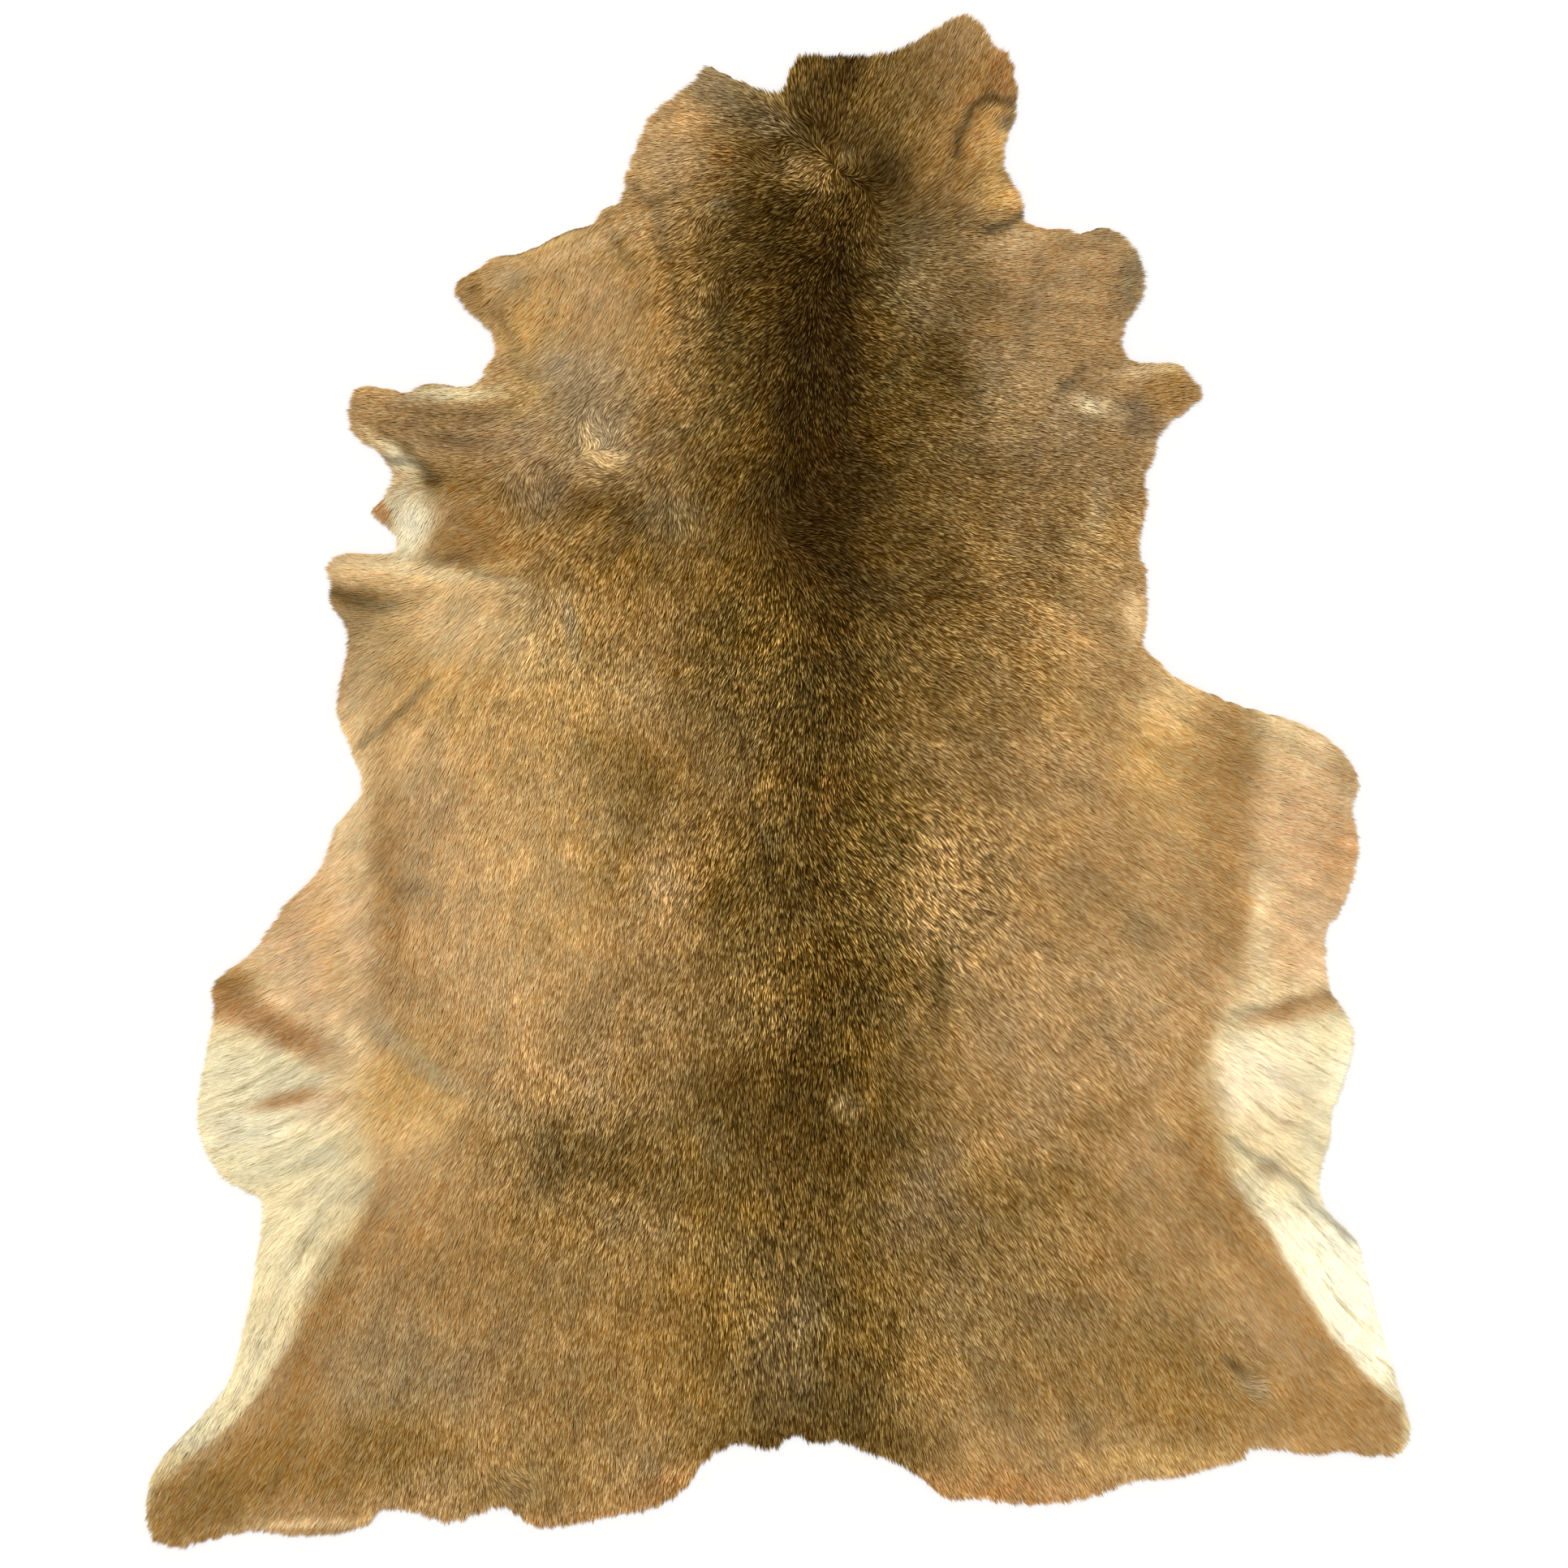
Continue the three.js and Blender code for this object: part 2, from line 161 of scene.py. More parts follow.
# Soft patches of the coat, painted in this order. Reaches are half sizes, and turn is in degrees.
# place, across, along, reach across, reach along, turn, pigment, strength
PATCHES = [
    ("top of the neck", 112, 556, 46, 46, 20, "brown", 0.80),
    ("dark hair of the right neck", 106, 570, 34, 38, 0, "olive", 0.60),
    ("light hair at the top edge", 4, 590, 10, 26, -12, "brown", 0.70),
    ("darkest hair of the neck", 52, 582, 14, 20, 0, "core", 0.50),
    ("light hair under the neck parting", 20, 496, 24, 16, 0, "tan", 0.70),
    ("dark hair right of the neck top", 78, 548, 22, 26, 0, "umber", 0.45),
    ("dark hair right of the parting", 78, 500, 28, 24, 0, "umber", 0.80),
    ("darkest hair right of the parting", 80, 500, 22, 20, 0, "core", 0.55),
    # Painted shade in the deep neck parting.
    ("painted shade of the neck parting", 36, 531, 18, 8, -36, "core", 0.50),
    ("grey fleck of the neck", 57, 514, 8, 5, 20, "taupe", 0.50),
    ("rust hair of the top corner", 176, 578, 26, 44, 10, "ochre", 0.75),
    ("orange rim of the top corner", 186, 580, 9, 22, 0, "rust", 0.60),
    ("light middle of the top corner", 160, 604, 16, 12, 30, "tan", 0.50),
    ("orange band of the right neck", 142, 500, 22, 44, -16, "ochre", 0.75),
    ("pale hair beside it", 176, 514, 9, 30, 0, "golden", 0.75),
    ("grey spot in the neck crease", 187, 539, 9, 6, 0, "taupe", 0.90),
    ("rolled lobe of the right neck", 180, 478, 24, 14, -18, "golden", 0.75),
    ("brown rim of that lobe", 196, 488, 16, 5, -50, "brown", 0.60),
    ("pale hair below the lap", 194, 443, 20, 11, 15, "pale_gold", 0.85),
    ("brown upper edge of the shoulder", 256, 458, 44, 6, -2, "brown", 0.60),
    ("right shoulder", 238, 404, 60, 54, 0, "tan", 0.85),
    ("light middle of the shoulder", 232, 398, 34, 34, 0, "pink_tan", 0.50),
    ("brown rim of the right shoulder", 293, 420, 13, 32, -12, "grey", 0.90),
    ("upper rim of the right shoulder", 276, 452, 18, 8, 0, "grey", 0.60),
    ("pinkish hair right of the withers", 130, 424, 40, 42, 0, "grey", 0.60),
    ("pinkish hair below it", 150, 372, 46, 34, 0, "taupe", 0.45),
    ("olive mark right of the withers", 160, 394, 18, 20, 0, "olive", 0.35),
    ("olive hair below that mark", 134, 334, 32, 30, 0, "olive", 0.85),
    ("rust fleck of the right shoulder", 178, 372, 16, 14, 0, "ochre", 0.50),
    ("grey side, right", 196, 310, 56, 50, 0, "ash", 0.40),
    ("brown side, right", 190, 210, 84, 74, 0, "brown", 0.55),
    ("olive side, right", 124, 262, 40, 60, 0, "olive", 0.40),
    ("dark hair beside the grey side", 134, 338, 28, 28, 0, "umber", 0.50),
    ("grey streaks, right", 262, 222, 8, 24, 0, "ash", 0.70),
    ("light side, right", 254, 180, 30, 46, 0, "golden", 0.45),
    ("right foreleg", 320, 318, 30, 16, 10, "ochre", 0.80),
    ("light upper edge of the right foreleg", 306, 337, 34, 5, 2, "pale_gold", 0.80),
    ("purple hair under the right foreleg", 293, 300, 16, 16, 20, "taupe", 0.90),
    ("pale hollow of the right foreleg", 262, 308, 20, 9, -10, "pale_gold", 0.90),
    ("white middle of the hollow", 256, 310, 9, 5, -10, "cream", 0.60),
    ("left neck lobe", -92, 518, 46, 60, 0, "pink_tan", 0.90),
    ("grey rim of the left neck", -38, 563, 34, 18, -20, "grey", 0.75),
    ("dark spot of the left neck", -8, 538, 17, 12, 0, "taupe", 0.75),
    ("upper rust fleck", -44, 512, 9, 9, 0, "rust", 0.55),
    ("lower rust fleck", -52, 494, 10, 6, 0, "rust", 0.35),
    ("light fleck of the neck", -47, 475, 9, 7, 0, "ash", 0.60),
    ("olive hair left of the withers", -38, 418, 28, 74, 0, "olive", 0.66),
    ("dark mottle left of the withers", -4, 430, 30, 70, 0, "umber", 0.65),
    ("dark fleck by the neck", -47, 396, 11, 20, 0, "core", 0.55),
    ("dark fleck over it", -50, 425, 17, 9, 0, "umber", 0.60),
    ("left shoulder", -172, 408, 80, 52, 12, "golden", 0.70),
    ("pink hair of the left shoulder", -150, 400, 34, 34, 0, "pink_tan", 0.60),
    ("light rim of the left shoulder", -170, 436, 62, 7, 22, "pale_gold", 0.45),
    ("tip of the left shoulder", -254, 404, 15, 17, 0, "brown", 0.80),
    ("light hair beside the tip", -224, 412, 13, 14, 0, "ash", 0.50),
    ("edge below the left shoulder", -206, 356, 17, 34, 24, "golden", 0.70),
    ("grey hair under the left shoulder", -164, 346, 30, 22, 0, "ash", 0.60),
    ("golden hair under the left shoulder", -96, 340, 32, 34, 0, "golden", 0.50),
    ("brown chest, left", -44, 300, 42, 62, 0, "bronze", 0.40),
    ("ochre hair by the left neck crease", -84, 372, 18, 58, 0, "ochre", 0.55),
    ("grey shoulder blade, left", -150, 288, 72, 42, 0, "ash", 0.38),
    ("ashen hair over the shoulder blade", -182, 314, 52, 24, 0, "ash", 0.40),
    ("orange island", -84, 309, 14, 18, 0, "ochre", 0.80),
    ("orange island below it", -104, 286, 13, 11, 0, "ochre", 0.55),
    ("golden root of the left foreleg", -212, 318, 26, 16, 0, "golden", 0.80),
    ("left foreleg", -300, 296, 56, 26, -14, "tan", 0.85),
    ("light middle of the left foreleg", -258, 296, 34, 14, -8, "tan", 0.60),
    ("brown streak of the left foreleg", -282, 284, 40, 6, -16, "brown", 0.30),
    ("cream upper edge of the left foreleg", -264, 319, 34, 7, 4, "cream", 0.90),
    ("cream streak under the left foreleg", -304, 261, 34, 7, -38, "cream", 0.90),
    ("brown line over that streak", -298, 268, 32, 4, -36, "umber", 0.55),
    ("pale ring of the whorl", -146, 276, 22, 20, 0, "ash", 0.70),
    ("upper arm of the whorl", -156, 286, 6, 12, 14, "pale_gold", 0.45),
    ("lower arm of the whorl", -138, 262, 14, 6, 12, "pale_gold", 0.80),
    ("dark band across the left shoulder", -146, 226, 64, 15, -5, "umber", 0.75),
    ("grey whorl behind the foreleg", -200, 236, 27, 19, 0, "taupe", 0.90),
    ("grey hair by the chest", -84, 222, 26, 24, 0, "ash", 0.42),
    ("cream patch behind the left foreleg", -302, 212, 25, 38, 12, "cream", 1.00),
    ("white middle of the cream patch", -298, 222, 19, 30, 12, "white", 0.75),
    ("ochre rim of the cream patch", -326, 223, 6, 14, 28, "rust", 0.80),
    ("tangle over the cream patch", -281, 247, 9, 4, -20, "core", 0.80),
    ("bronze hair behind the left shoulder", -130, 180, 96, 36, 0, "bronze", 0.80),
    ("ochre hair under it", -120, 124, 50, 30, 0, "ochre", 0.55),
    ("ochre hair beside the cream patch", -240, 200, 40, 28, 0, "ochre", 0.95),
    ("golden tip of that hair", -226, 178, 22, 5, 10, "golden", 0.80),
    ("upper back, left", -22, 92, 44, 52, 0, "olive", 0.75),
    ("golden stripe of the lower flap", -288, 166, 86, 15, -9, "pale_gold", 1.00),
    ("cream edge of that stripe", -286, 173, 58, 6, -7, "cream", 0.75),
    ("dark stripe of the lower flap", -338, 151, 36, 8, -10, "umber", 0.65),
    ("brown hair under that stripe", -330, 128, 38, 18, -8, "grey", 0.80),
    ("brown hair behind the left foreleg", -262, 245, 42, 15, -6, "bronze", 0.65),
    ("light hair under it", -322, 92, 34, 24, -6, "ash", 0.70),
    ("pale flank", -334, 62, 26, 22, 10, "pale_gold", 0.60),
    ("golden hair behind the lower flap", -246, 116, 74, 40, -8, "golden", 1.00),
    ("pale middle of that hair", -248, 120, 52, 27, -8, "pale_gold", 0.95),
    ("golden ribs, left", -258, 56, 66, 46, 0, "golden", 0.80),
    ("light rim of the left ribs", -292, 16, 26, 28, 0, "pale_gold", 0.50),
    ("light spot of the left ribs", -212, 80, 15, 10, 0, "pale_gold", 0.35),
    ("grey streak, left ribs", -168, 122, 5, 24, 10, "ash", 0.85),
    ("grey streak below it", -126, 84, 10, 14, 20, "ash", 0.45),
    ("tan ribs, left", -160, 60, 50, 56, 0, "golden", 0.58),
    ("bronze ribs, upper", -124, 18, 44, 22, -24, "bronze", 0.80),
    ("bronze ribs, lower", -112, -14, 27, 30, -10, "olive", 0.75),
    ("darkest bronze", -110, 4, 20, 16, 0, "umber", 0.30),
    ("foot of the bronze ribs", -138, -70, 20, 34, 0, "bronze", 0.80),
    ("bridge to the foot", -128, -46, 14, 18, -14, "bronze", 0.60),
    ("pink ribs, left", -232, -70, 66, 108, 3, "pink_tan", 0.95),
    ("warm ribs, left", -190, -60, 60, 110, 0, "golden", 0.50),
    ("tan hair by the backbone, left", -40, 10, 38, 66, 0, "brown", 0.62),
    ("dark mid back", 0, -82, 40, 32, 0, "umber", 0.30),
    ("mottled lower ribs, left", -60, -176, 84, 60, 0, "brown", 0.65),
    ("light mottle, lower ribs", -112, -196, 26, 22, 0, "tan", 0.45),
    ("dark mottle, lower ribs", -50, -140, 20, 14, 20, "olive", 0.45),
    ("grey mark, left ribs", -293, -84, 15, 9, 0, "grey", 0.35),
    ("brown edge of the left flank", -316, -84, 12, 84, 2, "ochre", 0.50),
    ("cream edge of the left belly", -346, -6, 13, 60, 6, "pale_gold", 0.60),
    ("pink belly, left", -384, -112, 36, 76, 20, "pink", 0.80),
    ("orange streak of the left belly", -366, -130, 14, 50, 12, "golden", 0.35),
    ("tan edge of the left belly", -420, -116, 38, 12, 44, "tan", 0.60),
    ("dark tip of the left belly", -448, -168, 24, 15, 26, "ochre", 0.95),
    ("rust band of the left belly", -404, -199, 58, 12, -25, "rust", 1.00),
    ("golden rim below the band", -352, -226, 30, 14, -20, "pale_gold", 0.70),
    ("straw belly, left", -432, -226, 34, 28, 10, "straw", 0.90),
    ("white belly, left", -416, -270, 52, 26, 18, "white", 0.60),
    ("grey lower belly, left", -400, -306, 50, 12, 20, "straw", 0.80),
    ("rust spot of the left belly", -394, -256, 27, 7, 14, "rust", 0.70),
    ("pink hair beside it", -356, -262, 24, 11, 10, "pink", 0.60),
    ("golden hair over the left thigh", -296, -266, 44, 42, -14, "golden", 1.00),
    ("light hair over the left thigh", -293, -300, 30, 36, 0, "pale_gold", 0.45),
    ("light hair of the left loin", -290, -214, 30, 28, 0, "golden", 0.50),
    ("grey line of the left loin", -290, -226, 52, 8, -35, "ash", 0.60),
    ("upper end of the grey line", -322, -196, 16, 10, -50, "ash", 0.50),
    ("yellow edge of the left leg", -452, -440, 16, 90, -12, "cream", 0.60),
    ("rust hair along the left stripe", -384, -470, 16, 92, -22, "ochre", 0.80),
    ("left thigh", -270, -380, 66, 66, 0, "ochre", 0.45),
    ("brown hair of the left thigh", -240, -440, 60, 60, 0, "brown", 0.45),
    ("grey hair of the left thigh", -312, -500, 46, 50, 0, "grey", 0.60),
    ("left hind leg", -452, -576, 66, 30, 20, "bronze", 0.95),
    ("dark root of the left leg", -340, -548, 84, 30, 12, "bronze", 0.85),
    ("bronze edge of the left leg", -400, -520, 30, 18, 30, "bronze", 0.50),
    ("brown foot of the left rump", -196, -572, 70, 30, 0, "bronze", 0.60),
    ("dark tip of the left leg", -500, -600, 22, 14, 0, "bronze", 0.70),
    ("pale strip under the left leg", -384, -607, 48, 4, 4, "pale_gold", 0.85),
    ("dark speckle of the left rump", -166, -306, 66, 30, -12, "olive", 0.75),
    ("dark hair beside that speckle", -78, -322, 56, 34, -6, "olive", 0.70),
    ("darker middle of that speckle", -140, -318, 40, 16, -14, "umber", 0.30),
    ("grey mark near the backbone", -52, -298, 16, 12, -20, "ash", 0.35),
    ("grey band of the left rump", -122, -364, 44, 19, -14, "taupe", 0.60),
    ("brown rump, left", -60, -430, 50, 90, 0, "bronze", 0.55),
    ("left rump", -146, -450, 76, 84, 0, "bronze", 0.62),
    ("dark hair over the left rump", -187, -357, 40, 24, 0, "bronze", 0.60),
    ("light mottle of the left rump", -196, -452, 34, 28, 0, "tan", 0.40),
    ("grey swirl of the left rump", -214, -572, 20, 17, 0, "grey", 0.45),
    ("golden fringe of the left rump", -190, -608, 60, 8, 4, "rust", 0.50),
    ("golden tips by the tail", -93, -576, 32, 12, 26, "rust", 0.50),
    ("dark olive right of the back", 100, 100, 42, 62, 0, "umber", 0.55),
    ("dark fleck right of the back", 141, 168, 14, 20, 0, "umber", 0.60),
    ("brown hair right of the back", 190, -62, 44, 84, -10, "brown", 0.62),
    ("light hair right of the back", 136, 10, 28, 36, -6, "tan", 0.40),
    ("speckled ribs, right", 150, 80, 56, 96, 0, "brown", 0.50),
    ("pale edge over the right elbow", 290, 136, 9, 22, 0, "pale_gold", 0.90),
    ("pale hair of the right elbow", 318, 66, 22, 34, -24, "pale_gold", 0.90),
    ("pale hair below it", 300, 8, 12, 40, -10, "golden", 0.60),
    ("light hair of the right ribs", 246, 72, 34, 42, 0, "golden", 0.40),
    ("golden ribs, right", 322, 6, 48, 80, 0, "golden", 0.60),
    ("brown edge of the right flank", 370, -50, 20, 100, 2, "ochre", 0.75),
    ("dark end of that edge", 380, 34, 12, 40, 0, "bronze", 0.35),
    ("rust fleck of the backbone", 42, -13, 10, 18, 0, "rust", 0.30),
    ("pale upper belly, right", 424, 44, 40, 26, -20, "cream", 0.20),
    ("soft shade of the right belly", 434, -20, 36, 74, 0, "tan", 0.24),
    ("tan rim of the upper belly", 466, 14, 15, 20, -30, "brown", 0.65),
    ("pink belly, right", 434, -40, 42, 56, 0, "pink", 0.75),
    ("rust rim of the right belly", 462, -62, 18, 30, -10, "rust", 0.50),
    ("cream stripe of the right belly", 394, -130, 9, 50, -4, "cream", 0.70),
    ("tan lower belly, right", 432, -132, 34, 34, 0, "pink", 0.60),
    ("rust line of the right belly", 424, -182, 40, 8, 14, "rust", 0.75),
    ("dark patch right of the back", 60, -168, 38, 34, 0, "umber", 0.75),
    ("brown hair over that patch", 82, -92, 26, 34, 0, "brown", 0.45),
    ("dark line right of it", 132, -165, 9, 38, 0, "olive", 0.80),
    ("tan ribs, right", 270, -110, 90, 70, -20, "tan", 0.35),
    ("brown middle of the right ribs", 246, -90, 60, 50, -20, "brown", 0.30),
    ("pink ribs, right", 286, -166, 66, 36, -20, "pink_tan", 0.50),
    ("grey mark, right ribs", 296, -120, 13, 24, 10, "grey", 0.45),
    ("cream rim of the white belly", 434, -262, 24, 62, 0, "cream", 0.70),
    ("straw rim of the white belly", 446, -300, 14, 60, 14, "straw", 0.45),
    ("soft pink of the white belly", 392, -252, 36, 34, 0, "pink", 0.30),
    ("pink hair across the white belly", 404, -308, 34, 12, -38, "pink", 0.18),
    ("pink blot of the right belly", 400, -316, 8, 7, 0, "taupe", 0.50),
    ("ochre edge of the right thigh", 346, -280, 17, 60, 0, "ochre", 0.75),
    ("ochre edge below it", 410, -410, 12, 96, 36, "ochre", 0.55),
    ("dark loin", 22, -252, 62, 34, 4, "umber", 0.85),
    ("darkest loin", 26, -240, 36, 20, 0, "core", 0.45),
    ("dark loin below it", 60, -306, 30, 30, 0, "umber", 0.60),
    ("light loin, right", 190, -230, 76, 36, 0, "tan", 0.25),
    ("brown fleck, right loin", 262, -277, 30, 14, 20, "brown", 0.70),
    ("grey mark, right of the loin", 57, -266, 12, 12, 0, "ash", 0.35),
    ("grey hair of the right rump", 128, -344, 32, 46, 0, "taupe", 0.70),
    ("dark hair of the right rump", 206, -342, 58, 28, 8, "olive", 0.78),
    ("dark hair below it", 150, -384, 40, 20, 0, "olive", 0.50),
    ("grey tail", 6, -452, 42, 66, 0, "taupe", 0.42),
    ("light flecks of the tail", 30, -440, 18, 20, 0, "ash", 0.25),
    ("dark side of the tail", 70, -456, 34, 64, 0, "umber", 0.50),
    ("dark fringe of the tail", 26, -536, 70, 16, 0, "umber", 0.75),
    ("brown rump, right", 170, -454, 96, 96, 0, "olive", 0.52),
    ("right rump", 272, -412, 96, 70, -16, "brown", 0.72),
    ("brown lower rump, right", 330, -500, 84, 44, -14, "bronze", 0.75),
    ("grey scar of the right thigh", 392, -497, 15, 8, -30, "ash", 0.75),
    ("dark spot of the scar", 374, -478, 7, 4, -30, "umber", 0.35),
    ("right thigh", 350, -350, 36, 50, 30, "ochre", 0.30),
    ("right hind leg", 452, -512, 56, 26, -20, "ochre", 0.75),
    ("golden fringe, right rump", 300, -556, 56, 14, 8, "golden", 0.70),
    ("rust fringe by the tail", 176, -580, 80, 16, 0, "rust", 0.60),
]

# How the hair lies. Heading is in degrees from across, turning towards along, and mixed is how coarse
# the coat looks.
# place, across, along, reach, heading, length, mixed
LIE = [
    ("left top of the neck", 10, 590, 22, 102, 10, 0.75),
    ("right top of the neck", 60, 585, 24, 72, 9, 0.75),
    ("above the neck parting", 34, 552, 20, 86, 10, 0.90),
    ("left of the neck parting", -14, 524, 20, 166, 9, 0.80),
    ("right of the neck parting", 86, 530, 26, 52, 10, 0.65),
    ("under the neck parting", 14, 500, 16, 224, 8, 0.90),
    ("below the neck parting", 56, 468, 18, 250, 8, 0.95),
    ("dark hair of the lower neck", 36, 440, 24, 246, 7, 0.95),
    ("left side of the neck", -60, 478, 42, 206, 8, 0.70),
    ("right side of the neck", 118, 488, 28, 48, 9, 0.45),
    ("right of the lower neck", 132, 448, 20, 4, 9, 0.45),
    ("orange band of the neck", 142, 500, 20, 52, 10, 0.40),
    ("left neck lobe", -90, 545, 38, 168, 10, 0.30),
    ("rim of the left neck", -115, 500, 30, 196, 11, 0.25),
    ("top corner", 155, 592, 38, 62, 9, 0.35),
    ("right neck lobe", 172, 508, 24, 16, 10, 0.30),
    ("left of the withers", -30, 400, 38, 210, 7, 0.85),
    ("right of the withers", 80, 400, 30, -38, 7, 0.90),
    ("pinkish withers", 130, 410, 34, -18, 8, 0.50),
    ("left shoulder", -160, 400, 48, 246, 12, 0.22),
    ("tip of the left shoulder", -242, 410, 28, 200, 10, 0.22),
    ("right shoulder", 232, 400, 50, -5, 11, 0.22),
    ("rim of the right shoulder", 292, 410, 28, 6, 10, 0.25),
    ("left of the chest", -40, 310, 38, 236, 7, 0.80),
    ("backbone of the chest", 32, 320, 26, 262, 7, 0.95),
    ("right of the chest", 100, 310, 44, -26, 7, 0.80),
    ("right side", 210, 262, 60, -14, 8, 0.50),
    ("right foreleg", 322, 326, 24, 12, 10, 0.30),
    ("under the right foreleg", 290, 294, 20, -16, 10, 0.30),
    ("left foreleg", -322, 300, 32, 184, 10, 0.35),
    ("root of the left foreleg", -232, 300, 38, 192, 11, 0.35),
    ("under the left foreleg", -304, 262, 16, 146, 12, 0.20),
    ("lower flap", -335, 160, 32, 172, 14, 0.15),
    ("root of the lower flap", -250, 166, 32, 186, 14, 0.20),
    ("cream patch", -298, 212, 22, 265, 12, 0.08),
    ("left shoulder blade", -130, 290, 42, 226, 8, 0.50),
    ("dark shoulder band", -150, 228, 30, 206, 9, 0.60),
    ("upper ribs, left", -140, 150, 58, 254, 9, 0.65),
    ("ribs, left", -150, 20, 68, 258, 9, 0.50),
    ("golden elbow", -262, 112, 34, 236, 13, 0.18),
    ("left elbow", -335, 80, 32, 226, 14, 0.20),
    ("left flank", -250, -10, 48, 250, 13, 0.25),
    ("edge of the left belly", -350, -40, 34, 224, 17, 0.12),
    ("left belly", -392, -130, 40, 208, 19, 0.15),
    ("left belly fold", -400, -205, 24, 214, 18, 0.22),
    ("lower left belly", -402, -270, 44, 201, 22, 0.10),
    ("left groin", -342, -332, 34, 226, 19, 0.12),
    ("lower ribs, left", -200, -120, 68, 260, 13, 0.32),
    ("left loin", -110, -220, 58, 258, 9, 0.65),
    ("golden hair over the thigh", -294, -268, 30, 236, 14, 0.25),
    ("dark speckle of the rump", -160, -310, 44, 250, 9, 0.75),
    ("left thigh", -280, -400, 58, 252, 13, 0.35),
    ("left leg stripe", -430, -450, 34, 245, 15, 0.08),
    ("left hind leg", -452, -570, 44, 238, 12, 0.30),
    ("left rump", -180, -500, 68, 262, 10, 0.50),
    ("fringe of the left rump", -200, -592, 38, 268, 11, 0.50),
    ("left of the backbone", -20, 100, 34, 250, 7, 1.00),
    ("right of the backbone", 70, 100, 34, -58, 7, 1.00),
    ("backbone of the ribs", 26, 30, 26, 262, 7, 1.00),
    ("left of the mid back", -60, -60, 44, 250, 8, 0.85),
    ("upper ribs, right", 160, 150, 58, -26, 8, 0.75),
    ("ribs, right", 200, 20, 60, -38, 9, 0.50),
    ("right elbow", 292, 118, 38, -25, 12, 0.25),
    ("golden ribs, right", 320, 20, 44, -34, 13, 0.22),
    ("right flank", 300, -80, 58, -35, 13, 0.28),
    ("upper right belly", 432, 0, 44, -20, 17, 0.14),
    ("right belly", 432, -130, 44, -24, 19, 0.18),
    ("lower right belly", 420, -262, 38, -30, 21, 0.08),
    ("right of the loin", 100, -80, 58, -52, 7, 1.00),
    ("backbone of the loin", 20, -180, 34, 268, 7, 1.00),
    ("right loin", 220, -200, 68, -44, 10, 0.50),
    ("right thigh", 330, -330, 48, -48, 13, 0.32),
    ("right leg stripe", 460, -400, 34, -52, 14, 0.08),
    ("right hind leg", 472, -512, 38, -46, 12, 0.25),
    ("right rump", 180, -380, 58, -58, 9, 0.65),
    ("lower right rump", 250, -520, 58, -60, 10, 0.42),
    ("loin", 22, -300, 40, -88, 9, 0.85),
    ("tail", 20, -450, 46, -84, 9, 0.85),
    ("fringe of the tail", 22, -535, 36, -86, 10, 0.75),
    ("left of the tail", -80, -520, 38, 256, 10, 0.60),
]

# Small whorls, where the hair turns about a point.
# place, across, along, reach, turn
WHORLS = [
    ("left shoulder", -205, 238, 22, 80),
    ("lower flap", -260, 157, 20, 35),
    ("left of the neck", -12, 508, 11, -50),
    ("neck parting, top", 24, 541, 8, 50),
    ("neck parting, middle", 43, 524, 7, -60),
    ("neck parting, right", 62, 506, 8, 65),
    ("neck parting, low", 78, 488, 9, -55),
    ("neck parting, left", 6, 520, 7, 60),
    ("under the parting, left", 14, 486, 9, -55),
    ("under the parting, right", 44, 492, 8, 60),
    ("left of the withers", -50, 402, 17, 60),
    ("upper foreleg", -150, 288, 15, 110),
    ("lower foreleg", -144, 264, 14, -90),
    ("mid back", 10, 204, 22, 60),
    ("neck, left", -60, 455, 14, 45),
    ("neck, low", 24, 440, 16, -40),
    ("chest, left", -78, 222, 20, 50),
    ("left rump", -214, -570, 17, 70),
    ("right scar", 388, -492, 12, 60),
]
